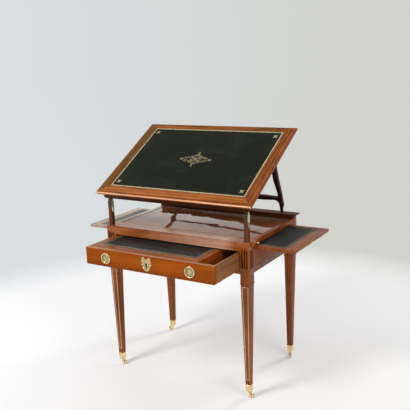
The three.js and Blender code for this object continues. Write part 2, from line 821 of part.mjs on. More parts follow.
// Strut: two legs and a crossbar cut from one frame, with round ends and a pin on each side.
function addStrut(top) {
  const { length, swing } = strutPlace();
  const strut = groupAt(top, 0, strutFromPivot, -strutBelowPivot);
  strut.rotation.x = swing - tiltAngle;
  const outX = halfWidth - frameSideRail - strutSideGap;
  const hipOut = outX - strutHipInset;
  const hipIn = hipOut - strutHipWidth;
  const shankIn = outX - strutShankWidth;
  const tipOut = outX - strutTipInset;
  const barEnd = strutBarEndHeight / 2;
  const barMiddle = strutBarHeight / 2;
  const rise = (height) => height - length;
  const rightSide = [
    [tipOut, -length],
    [tipOut, rise(strutTipHeight)],
    [outX + strutBumpProud, rise(strutBumpRise)],
    [outX, rise(strutBumpRise + strutBumpLength)],
    [outX, rise(strutSwellLow)],
    [hipOut, rise(strutSwellHigh)],
    [hipOut, 0],
    [hipIn, 0],
    [hipIn, rise(strutSwellHigh)],
    [shankIn, rise(strutSwellLow)],
    [shankIn, rise(strutBarRise + barEnd)],
    [shankIn - strutBarTaper, rise(strutBarRise + barMiddle)],
  ];
  const fillet = [0, 1, 2, 3].map((step) => {
    const angle = (step * Math.PI) / 6;
    return [
      shankIn - strutFillet * (1 - Math.sin(angle)),
      rise(strutBarRise - barEnd - strutFillet * (1 - Math.cos(angle))),
    ];
  });
  const underBar = [
    [shankIn - strutBarTaper, rise(strutBarRise - barMiddle)],
    ...fillet,
    [shankIn, -length],
  ];
  const mirror = (points) => points.map(([x, z]) => [-x, z]).reverse();
  const points = [...rightSide, ...mirror(rightSide), ...mirror(underBar), ...underBar];
  const outline = new THREE.Shape(points.map(([x, z]) => new THREE.Vector2(x, z)));
  const half = strutThickness / 2;
  const flat = prismY(outline, -half, half, 1);
  const rounds = [-1, 1].flatMap((side) => {
    const span = (a, b) => (side < 0 ? [-b, -a] : [a, b]);
    const [e0, e1] = span(hipIn, hipOut);
    const [f0, f1] = span(shankIn, tipOut);
    const [p0, p1] = span(hipOut - strutHipWidth / 2, outX + strutSideGap + strutPinReach);
    return [
      rodX(e0, e1, 0, 0, half, 20),
      rodX(f0, f1, 0, -length, half, 20),
      rodX(p0, p1, 0, 0, strutPinRadius, 14),
    ];
  });
  piece(strut, "strut", join(flat, ...rounds), "dark");
}

// Side slides: a lined board that draws out at each end of the body.
function addSlide(table, name, side, out) {
  const slide = groupAt(table, side * (halfWidth + out), 0, 0);
  if (side < 0) slide.rotation.z = Math.PI;
  const rearY = legInnerY - fitGap - guideWidth - runGap;
  const frontY = -legInnerY + slideSideGap;
  const [y0, y1] = side < 0 ? [-rearY, -frontY] : [frontY, rearY];
  const wood = box(-slideLength, 0, y0, y1, slideBottom, slideTop);
  const lined = (gap, z0, z1) =>
    box(
      -slideLeatherEnd - slideLeatherLength + gap, -slideLeatherEnd - gap,
      y0 + slideLeatherEdge + gap, y1 - slideLeatherEdge - gap,
      z0, z1,
    );
  const recessZ = slideTop - leatherRecess;
  const knobY = side < 0 ? -(rearY - slideKnobSetback) : rearY - slideKnobSetback;
  const knobZ = (slideTop + slideBottom) / 2;
  const seat = rodX(
    -slideKnobSeat - fitGap, cutOverrun, knobY, knobZ, slideKnobStem + fitGap, 12,
  );
  piece(
    slide, "slide_" + name,
    cut(wood, lined(0, recessZ, slideTop + cutOverrun), seat), "mahogany",
  );
  const leatherZ = recessZ + (leatherRecess - leatherThickness) / 2;
  piece(slide, "slide_leather_" + name, lined(fitGap, leatherZ, leatherZ + leatherThickness), "leather");
  const reach = slideKnobReach;
  const knob = turned(
    [
      [0, -slideKnobSeat],
      [slideKnobStem, -slideKnobSeat],
      [slideKnobStem, fitGap],
      [slideKnobRadius, fitGap],
      [slideKnobRadius, reach / 6],
      [slideKnobStem, reach / 3],
      [slideKnobRadius, reach * 0.6],
      [slideKnobRadius, reach * 0.8],
      [slideKnobStem, reach],
      [0, reach],
    ],
    14,
  ).rotateY(Math.PI / 2);
  piece(slide, "slide_knob_" + name, knob.translate(0, knobY, knobZ), "brass");
}

// Drawer, drawn out towards -Y, with a lined writing board inside its top.
function addDrawer(table) {
  const drawer = groupAt(table, 0, -drawerOut, 0);
  const half = legInnerX - drawerSideGap;
  const frontY = -halfDepth;
  const boxY = frontY + drawerFrontThickness + fitGap;
  const backY = frontY + drawerDepth;
  const lowZ = drawerLow;
  const bottomZ = lowZ + drawerBottomRise;
  const floorZ = bottomZ + drawerBottomThickness;
  const innerHalf = half - drawerSideThickness;
  const plateZ = (lowZ + drawerTop) / 2;
  const boardTopZ = drawerTop - fitGap;
  const boardZ = boardTopZ - boardThickness;
  const ledgeZ = boardZ - fitGap;

  const keyZ = plateZ + escutcheonRaise;
  const keyhole = keyholeCutter(keyZ, frontY - cutOverrun, frontY + keyholeDepth);
  const pins = [-1, 1].map((side) => handlePeg(side, plateZ, frontY, fitGap));
  piece(
    drawer, "drawer_front",
    cut(box(-half, half, frontY, frontY + drawerFrontThickness, lowZ, drawerTop), keyhole, ...pins),
    "mahogany",
  );
  const leftSide = box(-half, -innerHalf, boxY, backY, lowZ, drawerTop);
  const leftLedge = box(
    -innerHalf - fitGap, -innerHalf + boardLedgeWidth,
    boxY, backY - drawerBackThickness - fitGap,
    ledgeZ - boardLedgeHeight, ledgeZ,
  );
  piece(drawer, "drawer_side_left", join(leftSide, leftLedge), "inner");
  piece(drawer, "drawer_side_right", box(innerHalf, half, boxY, backY, lowZ, drawerTop), "inner");
  const inside = innerHalf - fitGap;
  piece(
    drawer, "drawer_bottom",
    box(-inside, inside, boxY, backY, bottomZ, floorZ), "inner",
  );
  const backFront = backY - drawerBackThickness;
  piece(
    drawer, "drawer_back",
    box(-inside, inside, backFront, backY, floorZ + fitGap, drawerTop), "inner",
  );
  const wall = box(
    dividerX, dividerX + dividerThickness, boxY, backFront - fitGap, floorZ + fitGap, drawerTop,
  );
  const wallLedge = box(
    dividerX - boardLedgeWidth, dividerX + fitGap, boxY, backFront - fitGap,
    ledgeZ - boardLedgeHeight, ledgeZ,
  );
  piece(drawer, "drawer_divider", join(wall, wallLedge), "mahogany");
  piece(
    drawer, "drawer_lock",
    box(-lockWidth / 2, lockWidth / 2, boxY, boxY + lockDepth, drawerTop - lockDrop - lockHeight, drawerTop - lockDrop),
    "brass",
  );
  addWritingBoard(drawer, -innerHalf + runGap, dividerX - runGap, boxY, boardZ, boardTopZ);
  addDrawerBrass(drawer, plateZ, keyZ, frontY);
}

function addWritingBoard(drawer, x0, x1, y0, z0, z1) {
  const wood = box(x0, x1, y0, y0 + boardDepth, z0, z1);
  const lined = (gap, low, high) =>
    box(
      x0 + boardLeatherSide + gap, x1 - boardLeatherSide - gap,
      y0 + boardLeatherFront + gap, y0 + boardDepth - boardLeatherBack - gap,
      low, high,
    );
  const recessZ = z1 - leatherRecess;
  piece(drawer, "writing_board", cut(wood, lined(0, recessZ, z1 + cutOverrun)), "mahogany");
  const leatherZ = recessZ + (leatherRecess - leatherThickness) / 2;
  piece(drawer, "board_leather", lined(fitGap, leatherZ, leatherZ + leatherThickness), "leather");
}

function keyholeCutter(z, y0, y1) {
  const outline = new THREE.Shape();
  const angle = Math.asin(keyholeSlot / 2 / keyholeRadius);
  outline.absarc(0, z, keyholeRadius, -Math.PI / 2 + angle, (3 * Math.PI) / 2 - angle, false);
  outline.lineTo(-keyholeSlot / 2, z - keyholeLength);
  outline.lineTo(keyholeSlot / 2, z - keyholeLength);
  outline.closePath();
  return prismY(outline, y0, y1, 10);
}

// The peg that holds a handle's plate in the drawer front.
function handlePeg(side, z, frontY, grow) {
  const radius = plateThickness + grow;
  const length = keyholeDepth + grow;
  const peg = new THREE.CylinderGeometry(radius, radius, length + cutOverrun, 10);
  return peg.translate(side * handleX, frontY + (length - cutOverrun) / 2, z);
}

function addDrawerBrass(drawer, z, keyZ, frontY) {
  const face = frontY - fitGap;
  const [w, h] = [escutcheonWidth / 2, escutcheonHeight / 2];
  const halfShares = [
    [0, -1], [0.2, -0.97], [0.38, -0.86], [0.46, -0.68], [0.7, -0.62], [0.56, -0.42], [0.86, -0.28],
    [0.66, -0.1], [1, 0.08], [0.72, 0.22], [0.94, 0.46], [0.62, 0.46], [0.64, 0.8], [0.36, 0.64], [0.2, 0.94],
  ];
  const right = halfShares.map(([x, up]) => [x * w, keyZ + up * h]);
  const left = right.slice(1).reverse().map(([x, up]) => [-x, up]);
  const outline = new THREE.Shape([...right, [0, keyZ + h * 0.78], ...left].map(([x, up]) => new THREE.Vector2(x, up)));
  const plate = prismY(outline, face - escutcheonThickness, face, 1);
  const hole = keyholeCutter(keyZ, face - escutcheonThickness - cutOverrun, face + cutOverrun);
  piece(drawer, "escutcheon", cut(plate, hole), "brass");
  for (const [name, side] of [["left", -1], ["right", 1]]) addHandle(drawer, name, side, z, frontY);
}

// A handle: a round plate with a rosette and an eye, and a ring that hangs in the eye.
function addHandle(drawer, name, side, z, frontY) {
  const face = frontY - fitGap;
  const disc = turned(
    [
      [0, 0],
      [plateRadius, 0],
      [plateRadius, plateThickness],
      [plateRadius - plateRim, plateThickness + plateRim],
      [plateRadius - 3 * plateRim, plateThickness],
      [plateRadius / 2, plateThickness],
      [plateRadius / 3, plateThickness + plateRosette / 2],
      [plateRadius / 6, plateThickness + plateRosette],
      [0, plateThickness + plateRosette],
    ],
    24,
  ).rotateX(Math.PI / 2).translate(side * handleX, face, z);
  const ringY = frontY - ringStandoff;
  const eyeZ = z + ringRadius;
  const x = side * handleX;
  const outer = bossHoleRadius + bossWall;
  const eye = box(
    x - bossWidth / 2, x + bossWidth / 2,
    ringY - outer, face,
    z + plateRadius / 2, eyeZ + outer,
  );
  const eyeHole = rodX(x - bossWidth, x + bossWidth, ringY, eyeZ, bossHoleRadius, 14);
  const plate = cut(join(disc, handlePeg(side, z, frontY, 0), eye), eyeHole);
  piece(drawer, "handle_plate_" + name, plate, "brass");
  const ring = new THREE.TorusGeometry(ringRadius, ringWire, 8, 28).rotateX(Math.PI / 2);
  piece(drawer, "handle_ring_" + name, ring.translate(x, ringY, z), "brass");
}

const table = new THREE.Group();
const corners = [
  ["front_left", -1, -1, -Math.PI * 0.03],
  ["front_right", 1, -1, -Math.PI * 0.03],
  ["rear_left", -1, 1, Math.PI * 1.08],
  ["rear_right", 1, 1, -Math.PI * 0.35],
];
for (const [name, sideX, sideY, heading] of corners) {
  addLeg(table, name, sideX, sideY);
  addCaster(table, name, sideX, sideY, heading);
}
addFrontRail(table);
addAprons(table);
addDrawerFrame(table);
addSlideBearer(table);
addFixedTop(table);
addRearRail(table);
addRearLedge(table);
for (const [name, side] of [["left", -1], ["right", 1]]) {
  addPost(table, name, side);
  addCatch(table, name, side);
}
addSlide(table, "left", -1, leftSlideOut);
addSlide(table, "right", 1, rightSlideOut);
addDrawer(table);
addWritingTop(table);

// The part's origin is the middle of its footprint, with the drawer and slides drawn out.
table.updateMatrixWorld(true);
const bounds = new THREE.Box3().setFromObject(table, true);
const middle = bounds.getCenter(new THREE.Vector3());
table.position.set(-middle.x, -middle.y, -bounds.min.z);
const part = new THREE.Group();
part.add(table);

export default part;
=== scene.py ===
import json
from math import asin, cos, hypot, pi, radians, sin

import bmesh
import bpy
from mathutils import Matrix, Vector


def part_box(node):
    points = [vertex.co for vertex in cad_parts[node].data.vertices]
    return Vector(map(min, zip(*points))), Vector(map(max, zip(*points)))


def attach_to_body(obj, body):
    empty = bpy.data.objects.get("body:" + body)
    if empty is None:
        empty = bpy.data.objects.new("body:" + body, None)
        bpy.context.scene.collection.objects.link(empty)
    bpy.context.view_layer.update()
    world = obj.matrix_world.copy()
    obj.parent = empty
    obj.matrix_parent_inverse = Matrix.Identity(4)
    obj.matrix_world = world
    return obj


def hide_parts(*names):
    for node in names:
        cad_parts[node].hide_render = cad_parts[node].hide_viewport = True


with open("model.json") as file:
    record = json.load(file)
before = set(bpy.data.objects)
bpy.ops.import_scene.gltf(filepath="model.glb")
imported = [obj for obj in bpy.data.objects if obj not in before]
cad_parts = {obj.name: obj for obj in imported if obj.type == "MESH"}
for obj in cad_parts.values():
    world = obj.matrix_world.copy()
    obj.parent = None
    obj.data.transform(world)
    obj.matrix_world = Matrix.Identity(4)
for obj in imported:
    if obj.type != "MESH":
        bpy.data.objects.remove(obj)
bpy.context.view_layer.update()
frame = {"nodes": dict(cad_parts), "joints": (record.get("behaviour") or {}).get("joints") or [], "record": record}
nodes = frame["nodes"]
bodyOf = {
    node: body
    for body, members in frame["record"]["behaviour"]["bodies"].items()
    for node in members
}
print("stage: frame loaded,", len(nodes), "nodes")


def linkObject(name, data):
    thing = bpy.data.objects.new(name, data)
    bpy.context.scene.collection.objects.link(thing)
    return thing


# camera
cameraView = {
    "location": (1.572033, -2.444371, 1.497259), "turn": 0.5360967, "tilt": -0.2309013, "roll": -0.0295182,
    "lens": 55.31, "sensor": 36, "shift": (-0.02443, 0.01553),
}


def addCamera():
    v = cameraView
    turn, tilt, roll = v["turn"], v["tilt"], v["roll"]
    ahead = Vector((-sin(turn) * cos(tilt), cos(turn) * cos(tilt), sin(tilt)))
    right = Vector((cos(turn), sin(turn), 0))
    up = right.cross(ahead)
    right, up = cos(roll) * right + sin(roll) * up, -sin(roll) * right + cos(roll) * up
    data = bpy.data.cameras.new("viewCamera")
    data.lens, data.sensor_width = v["lens"], v["sensor"]
    data.shift_x, data.shift_y = v["shift"]
    camera = linkObject("viewCamera", data)
    axes = Matrix((right, up, -ahead)).transposed().to_4x4()
    camera.matrix_world = Matrix.Translation(v["location"]) @ axes
    bpy.context.scene.camera = camera


addCamera()


# node helpers
def socketOf(sockets, label):
    # a socket by its identifier, or else by its name
    return next((socket for socket in sockets if socket.identifier == label), None) or sockets[label]


def addNode(tree, kind, given=(), **settings):
    # inputs are given a value, or the socket that feeds them
    step = tree.nodes.new(kind)
    for label, value in settings.items():
        setattr(step, label, value)
    for label, value in dict(given).items():
        socket = socketOf(step.inputs, label)
        if isinstance(value, bpy.types.NodeSocket):
            tree.links.new(value, socket)
        else:
            socket.default_value = value
    return step.outputs


def calc(tree, operation, first, second, clamp=False):
    given = {"Value": first, "Value_001": second}
    return addNode(tree, "ShaderNodeMath", given, operation=operation, use_clamp=clamp)["Value"]


def weighted(tree, first, *others):
    # the sum of (value, weight) pairs
    total = calc(tree, "MULTIPLY", *first)
    for pair in others:
        total = calc(tree, "ADD", total, calc(tree, "MULTIPLY", *pair))
    return total


def stretched(tree, vector, scale):
    return addNode(tree, "ShaderNodeMapping", {"Vector": vector, "Scale": scale})["Vector"]


def noiseAt(tree, vector, scale=1.0, detail=2.0, roughness=0.5, distortion=0.0):
    given = {
        "Vector": vector, "Scale": scale, "Detail": detail, "Roughness": roughness, "Distortion": distortion,
    }
    return addNode(tree, "ShaderNodeTexNoise", given)["Fac"]


def spread(tree, value, low, high, toLow=0.0, toHigh=1.0):
    given = {"Value": value, "From Min": low, "From Max": high, "To Min": toLow, "To Max": toHigh}
    return addNode(tree, "ShaderNodeMapRange", given)["Result"]


def mixColor(tree, factor, first, second, blend="MIX"):
    given = {"Factor_Float": factor, "A_Color": first, "B_Color": second}
    return socketOf(addNode(tree, "ShaderNodeMix", given, data_type="RGBA", blend_type=blend), "Result_Color")


def mixShader(tree, factor, first, second):
    given = {"Fac": factor, "Shader": first, "Shader_001": second}
    return addNode(tree, "ShaderNodeMixShader", given)["Shader"]


def splitAxes(tree, vector):
    return addNode(tree, "ShaderNodeSeparateXYZ", {"Vector": vector})


def clearedTree(holder):
    holder.use_nodes = True
    holder.node_tree.nodes.clear()
    return holder.node_tree


# shader groups
socketKinds = {type(None): "NodeSocketVector", tuple: "NodeSocketColor", float: "NodeSocketFloat"}
grey = (0.5, 0.5, 0.5, 1)


def startGroup(name, inputs, outputs):
    # an input's kind follows its value: none is a vector, a tuple a colour, a number a plain value
    group = bpy.data.node_groups.new(name, "ShaderNodeTree")
    for label, value in inputs.items():
        socket = group.interface.new_socket(name=label, in_out="INPUT", socket_type=socketKinds[type(value)])
        if value is not None:
            socket.default_value = value
    for label in outputs:
        kind = "NodeSocketColor" if label == "Color" else "NodeSocketFloat"
        group.interface.new_socket(name=label, in_out="OUTPUT", socket_type=kind)
    return group, group.nodes.new("NodeGroupInput").outputs


def endGroup(group, **results):
    addNode(group, "NodeGroupOutput", results)
    return group


grainLayers = {
    # stretch along and across the grain, then the noise's detail, roughness and distortion
    "streak": ((2.2, 75, 75), 5.0, 0.62), "band": ((1.1, 13, 13), 2.0, 0.5, 0.6),
    "fibre": ((9, 520, 520), 2.0, 0.6), "cloud": ((4.5, 11, 11), 3.0, 0.55, 1.2),
    "pore": ((45, 1500, 1500), 1.0, 0.4),
}
grainWaves = {"Scale": 1.0, "Distortion": 5.0, "Detail": 2.0, "Detail Scale": 0.7, "Detail Roughness": 0.5}
grainLook = {
    "seedSteps": (1.31, 0.77, 2.13), "waveStretch": (1.6, 17, 17), "poreRange": (0.62, 0.72),
    "poreColor": (0.03, 0.008, 0.003, 1), "toneRange": (0.36, 0.68),
    "share": {"streak": 0.46, "band": 0.34, "arch": 0.12, "fibre": 0.12, "cloud": 0.34},
}
noiseLook = {
    # scale, detail, roughness and distortion
    "wear": (60.0, 3.0, 0.6), "slowGloss": (9.0, 3.0, 0.55), "fineGloss": (140.0, 2.0, 0.6),
    "crease": (170.0, 4.0, 0.65), "rub": (7.0, 5.0, 0.62, 0.5), "metalSkin": (700.0, 2.0, 0.6),
}
pebbleScale = 620.0


def buildWoodGrain():
    # straight streaks and broad bands along X of the vector, with short dark pores
    group, given = startGroup(
        "woodGrain", {"Vector": None, "Light": grey, "Dark": grey, "Seed": 0.0, "Contrast": 1.0},
        ["Color", "Height", "Tone"],
    )
    g = grainLook
    seeded = {axis: calc(group, "MULTIPLY", given["Seed"], step) for axis, step in zip("XYZ", g["seedSteps"])}
    shifted = {
        "Vector": given["Vector"], "Vector_001": (1, 1, 1),
        "Vector_002": addNode(group, "ShaderNodeCombineXYZ", seeded)["Vector"],
    }
    spot = addNode(group, "ShaderNodeVectorMath", shifted, operation="MULTIPLY_ADD")["Vector"]
    layers = {
        name: noiseAt(group, stretched(group, spot, stretch), 1.0, *noise)
        for name, (stretch, *noise) in grainLayers.items()
    }
    waves = {**grainWaves, "Vector": stretched(group, spot, g["waveStretch"])}
    layers["arch"] = addNode(
        group, "ShaderNodeTexWave", waves, wave_type="BANDS", bands_direction="Y", wave_profile="SIN",
    )["Fac"]
    layers["cloud"] = calc(group, "SUBTRACT", layers["cloud"], 0.5)
    pores = spread(group, layers["pore"], *g["poreRange"])
    tone = weighted(group, *((layers[name], share) for name, share in g["share"].items()))
    centred = calc(group, "SUBTRACT", spread(group, tone, *g["toneRange"]), 0.5)
    tone = calc(group, "ADD", calc(group, "MULTIPLY", centred, given["Contrast"]), 0.5, clamp=True)
    color = mixColor(group, tone, given["Dark"], given["Light"])
    color = mixColor(group, calc(group, "MULTIPLY", pores, 0.5), color, g["poreColor"])
    height = calc(group, "SUBTRACT", calc(group, "MULTIPLY", layers["streak"], 0.4), pores)
    return endGroup(group, Color=color, Height=height, Tone=tone)


def buildEdgeWear():
    # rubs the colour along edges that the mesh marks, broken up by noise
    group, given = startGroup(
        "edgeWear", {"Vector": None, "Color": grey, "Worn Color": grey, "Amount": 0.5}, ["Color", "Mask"],
    )
    edge = addNode(group, "ShaderNodeAttribute", attribute_name="edge")["Fac"]
    broken = spread(group, noiseAt(group, given["Vector"], *noiseLook["wear"]), 0.35, 0.65, 0.35, 1.0)
    mask = calc(group, "MULTIPLY", calc(group, "MULTIPLY", edge, broken), given["Amount"], clamp=True)
    return endGroup(group, Color=mixColor(group, mask, given["Color"], given["Worn Color"]), Mask=mask)


def buildPolish():
    # slow change of gloss, as hand polishing and handling leave it
    group, given = startGroup("polish", {"Vector": None, "Least": 0.1, "Most": 0.3}, ["Roughness", "Height"])
    slow = noiseAt(group, given["Vector"], *noiseLook["slowGloss"])
    fine = noiseAt(group, given["Vector"], *noiseLook["fineGloss"])
    share = spread(group, weighted(group, (slow, 0.7), (fine, 0.3)), 0.35, 0.65)
    width = calc(group, "SUBTRACT", given["Most"], given["Least"])
    rough = calc(group, "ADD", calc(group, "MULTIPLY", share, width), given["Least"])
    swells = noiseAt(group, stretched(group, given["Vector"], (11.0, 6.0, 6.0)), 1.0, 0.0, 0.35, 0.4)
    return endGroup(group, Roughness=rough, Height=swells)


def buildLeatherGrain():
    inputs = {"Vector": None, "Color": grey, "Rubbed Color": grey}
    group, given = startGroup("leatherGrain", inputs, ["Color", "Height", "Roughness"])
    cells = {"Vector": given["Vector"], "Scale": pebbleScale}
    distance = addNode(group, "ShaderNodeTexVoronoi", cells, feature="DISTANCE_TO_EDGE")["Distance"]
    pebble = spread(group, distance, 0.0, 0.25)
    crease = noiseAt(group, given["Vector"], *noiseLook["crease"])
    rub = spread(group, noiseAt(group, given["Vector"], *noiseLook["rub"]), 0.48, 0.75)
    return endGroup(
        group, Color=mixColor(group, rub, given["Color"], given["Rubbed Color"]),
        Height=weighted(group, (pebble, 0.6), (crease, 0.4)),
        Roughness=spread(group, rub, 0.0, 1.0, 0.5, 0.38),
    )


def buildPatina():
    inputs = {"Vector": None, "Bright": grey, "Dull": grey, "Scale": 90.0}
    group, given = startGroup("metalPatina", inputs, ["Color", "Roughness", "Height"])
    dull = spread(group, noiseAt(group, given["Vector"], given["Scale"], 4.0), 0.5, 0.78)
    return endGroup(
        group, Color=mixColor(group, dull, given["Bright"], given["Dull"]),
        Roughness=spread(group, dull, 0.0, 1.0, 0.2, 0.42),
        Height=noiseAt(group, given["Vector"], *noiseLook["metalSkin"]),
    )


woodGrain, edgeWear, polish = buildWoodGrain(), buildEdgeWear(), buildPolish()
leatherGrain, metalPatina = buildLeatherGrain(), buildPatina()
print("stage: shader groups")


# materials
def startMaterial(name):
    material = bpy.data.materials.new(name)
    return material, clearedTree(material)


def endMaterial(tree, given, height, strength, distance):
    raised = {"Height": height, "Strength": strength, "Distance": distance}
    normal = addNode(tree, "ShaderNodeBump", raised)["Normal"]
    shader = addNode(tree, "ShaderNodeBsdfPrincipled", {**given, "Normal": normal})
    addNode(tree, "ShaderNodeOutputMaterial", {"Surface": shader["BSDF"]})


def placeGroup(tree, group, **given):
    # an underscore in a name stands for the space in the socket's
    inputs = {label.replace("_", " "): value for label, value in given.items()}
    return addNode(tree, "ShaderNodeGroup", inputs, node_tree=group)


def opaque(color):
    return (*color, 1)


slope = radians(29.84)
grainTurns = {
    "x": (0, 0, 0), "y": (0, 0, -pi / 2), "z": (0, pi / 2, 0), "slopeX": (-slope, 0, 0),
}


def grainVector(tree, grain):
    # along the member's length: its own coordinates, turned, or the map that follows a mitred frame
    if grain == "uv":
        return addNode(tree, "ShaderNodeUVMap", uv_map="grain")["UV"]
    given = {"Vector": addNode(tree, "ShaderNodeTexCoord")["Object"], "Rotation": grainTurns[grain]}
    return addNode(tree, "ShaderNodeMapping", given)["Vector"]


woodTones = {
    # light and dark of the figure, least and most roughness, coat and shine
    "frame": ((0.36, 0.098, 0.018), (0.100, 0.022, 0.004), (0.2, 0.38), 0.03, 0.08),
    "frameFront": ((0.45, 0.140, 0.028), (0.13, 0.031, 0.006), (0.16, 0.32), 0.06, 0.1),
    "frameBack": ((0.33, 0.103, 0.016), (0.090, 0.023, 0.003), (0.2, 0.38), 0.02, 0.06),
    "frameLeft": ((0.225, 0.092, 0.014), (0.058, 0.019, 0.003), (0.2, 0.38), 0.02, 0.06),
    # nose: a painted highlight along the writing top's front nose
    "nose": ((0.90, 0.52, 0.30), (0.58, 0.24, 0.10), (0.12, 0.24), 0.4, 0.4),
    # under: painted shade on the sub-frame beneath the writing top
    "under": ((0.105, 0.032, 0.010), (0.035, 0.010, 0.003), (0.3, 0.5), 0.0, 0.03),
    # cove: painted shade in the coves under the writing top's edge
    "cove": ((0.30, 0.080, 0.026), (0.13, 0.033, 0.010), (0.2, 0.4), 0.1, 0.15),
    "rail": ((0.46, 0.135, 0.028), (0.19, 0.045, 0.008), (0.18, 0.34), 0.15, 0.2),
    "edge": ((0.46, 0.215, 0.125), (0.22, 0.080, 0.035), (0.3, 0.5), 0.0, 0.04),
    # painted glare on the faces that look up or to the front
    "hazed": ((0.50, 0.36, 0.26), (0.24, 0.14, 0.09), (0.14, 0.26), 0.3, 0.3),
    # painted shade, near black, inside the groove and the keyholes
    "gap": ((0.010, 0.006, 0.004), (0.004, 0.003, 0.002), (0.6, 0.8), 0.0, 0.0),
    "front": ((0.36, 0.082, 0.004), (0.19, 0.038, 0.002), (0.3, 0.46), 0.0, 0.05),
    "body": ((0.35, 0.084, 0.010), (0.12, 0.026, 0.004), (0.2, 0.36), 0.05, 0.1),
    "leg": ((0.33, 0.092, 0.018), (0.13, 0.034, 0.007), (0.2, 0.36), 0.05, 0.1),
    # flute: painted shade inside the legs' flutes
    "flute": ((0.095, 0.022, 0.004), (0.035, 0.008, 0.002), (0.3, 0.5), 0.0, 0.05),
    "shade": ((0.16, 0.042, 0.010), (0.05, 0.014, 0.004), (0.18, 0.36), 0.1, 0.2),
    # ledge: painted shade on the rear ledge, which lies under the writing top
    "ledge": ((0.12, 0.034, 0.010), (0.040, 0.011, 0.003), (0.26, 0.44), 0.0, 0.06),
    "inner": ((0.34, 0.150, 0.052), (0.16, 0.060, 0.020), (0.42, 0.6), 0.0, 0.15),
    "ebonised": ((0.034, 0.016, 0.010), (0.010, 0.006, 0.004), (0.25, 0.42), 0.1, 0.2),
}
# a painted sheen along the rail's middle, between two places on its length
paintedSheen = {"rail": {"color": (0.72, 0.44, 0.32), "comesIn": (-0.22, 0.16), "goesOut": (0.30, 0.24)}}
woodFinish = {"coatRoughness": 0.1, "wear": 0.55, "bump": 0.25, "bumpHeight": 0.0002}
madeWood = {}


def wood(tone, grain, seed=0.0, contrast=1.0):
    key = (tone, grain, seed, contrast)
    if key in madeWood:
        return madeWood[key]
    light, dark, (least, most), coat, shine = woodTones[tone]
    material, tree = startMaterial(tone + "Wood" + grain.capitalize() + str(int(seed * 10)))
    vector = grainVector(tree, grain)
    figure = placeGroup(
        tree, woodGrain, Vector=vector, Light=opaque(light), Dark=opaque(dark), Seed=seed, Contrast=contrast,
    )
    color = figure["Color"]
    # mixes in the painted sheen, paler where the figure is light
    if tone in paintedSheen:
        look, along = paintedSheen[tone], splitAxes(tree, vector)["X"]
        ends = [spread(tree, along, *look[end]) for end in ("comesIn", "goesOut")]
        share = calc(tree, "MULTIPLY", *ends)
        share = calc(tree, "MULTIPLY", share, spread(tree, figure["Tone"], 0.0, 1.0, 0.35, 0.85))
        color = mixColor(tree, share, color, opaque(look["color"]))
    # edges paler than the figure's light: rubbed wear, and on the front rail a painted highlight along its eased
    # edge
    rubbed = opaque([min(1, c * 1.35 + 0.03) for c in light])
    worn = placeGroup(
        tree, edgeWear, Vector=vector, Color=color, Worn_Color=rubbed, Amount=woodFinish["wear"],
    )
    gloss = placeGroup(tree, polish, Vector=vector, Least=least, Most=most)
    given = {
        "Base Color": worn["Color"], "Roughness": gloss["Roughness"], "Specular IOR Level": shine,
        "Coat Weight": coat, "Coat Roughness": woodFinish["coatRoughness"],
    }
    endMaterial(tree, given, figure["Height"], woodFinish["bump"], woodFinish["bumpHeight"])
    madeWood[key] = material
    return material


mirrorTop = {
    "light": (0.30, 0.105, 0.045), "dark": (0.14, 0.042, 0.018), "seed": 6.3, "contrast": 0.8,
    "gloss": (0.03, 0.08), "bend": 1.75, "ripple": 1.0, "rippleHeight": 0.0034,
}


def makeMirrorWood():
    look = mirrorTop
    material, tree = startMaterial("mirrorPolishedWood")
    vector = grainVector(tree, "x")
    figure = placeGroup(
        tree, woodGrain, Vector=vector, Light=opaque(look["light"]), Dark=opaque(look["dark"]),
        Seed=look["seed"], Contrast=look["contrast"],
    )
    gloss = placeGroup(tree, polish, Vector=vector, Least=look["gloss"][0], Most=look["gloss"][1])
    given = {
        "Base Color": figure["Color"], "Roughness": gloss["Roughness"],
        "Specular IOR Level": 1.0, "IOR": look["bend"],
    }
    endMaterial(tree, given, gloss["Height"], look["ripple"], look["rippleHeight"])
    return material


leatherLook = {
    # colour, colour where rubbed, shine and bump
    "greenBlack": ((0.0075, 0.0095, 0.0060), (0.0150, 0.0170, 0.0110), 0.08, 0.35),
    "glazed": ((0.0085, 0.0110, 0.0095), (0.020, 0.024, 0.021), 0.3, 0.12),
    "deep": ((0.0060, 0.0068, 0.0050), (0.014, 0.015, 0.012), 0.14, 0.12),
    # a pale grey standing for painted glare on the left slide's leather
    "faded": ((0.085, 0.086, 0.072), (0.14, 0.14, 0.12), 0.5, 0.12),
}


def makeLeather(name, color, rubbed, shine, bump):
    material, tree = startMaterial(name + "Leather")
    grain = placeGroup(
        tree, leatherGrain, Vector=grainVector(tree, "x"), Color=opaque(color), Rubbed_Color=opaque(rubbed),
    )
    given = {"Base Color": grain["Color"], "Roughness": grain["Roughness"], "Specular IOR Level": shine}
    endMaterial(tree, given, grain["Height"], bump, 0.0002)
    return material


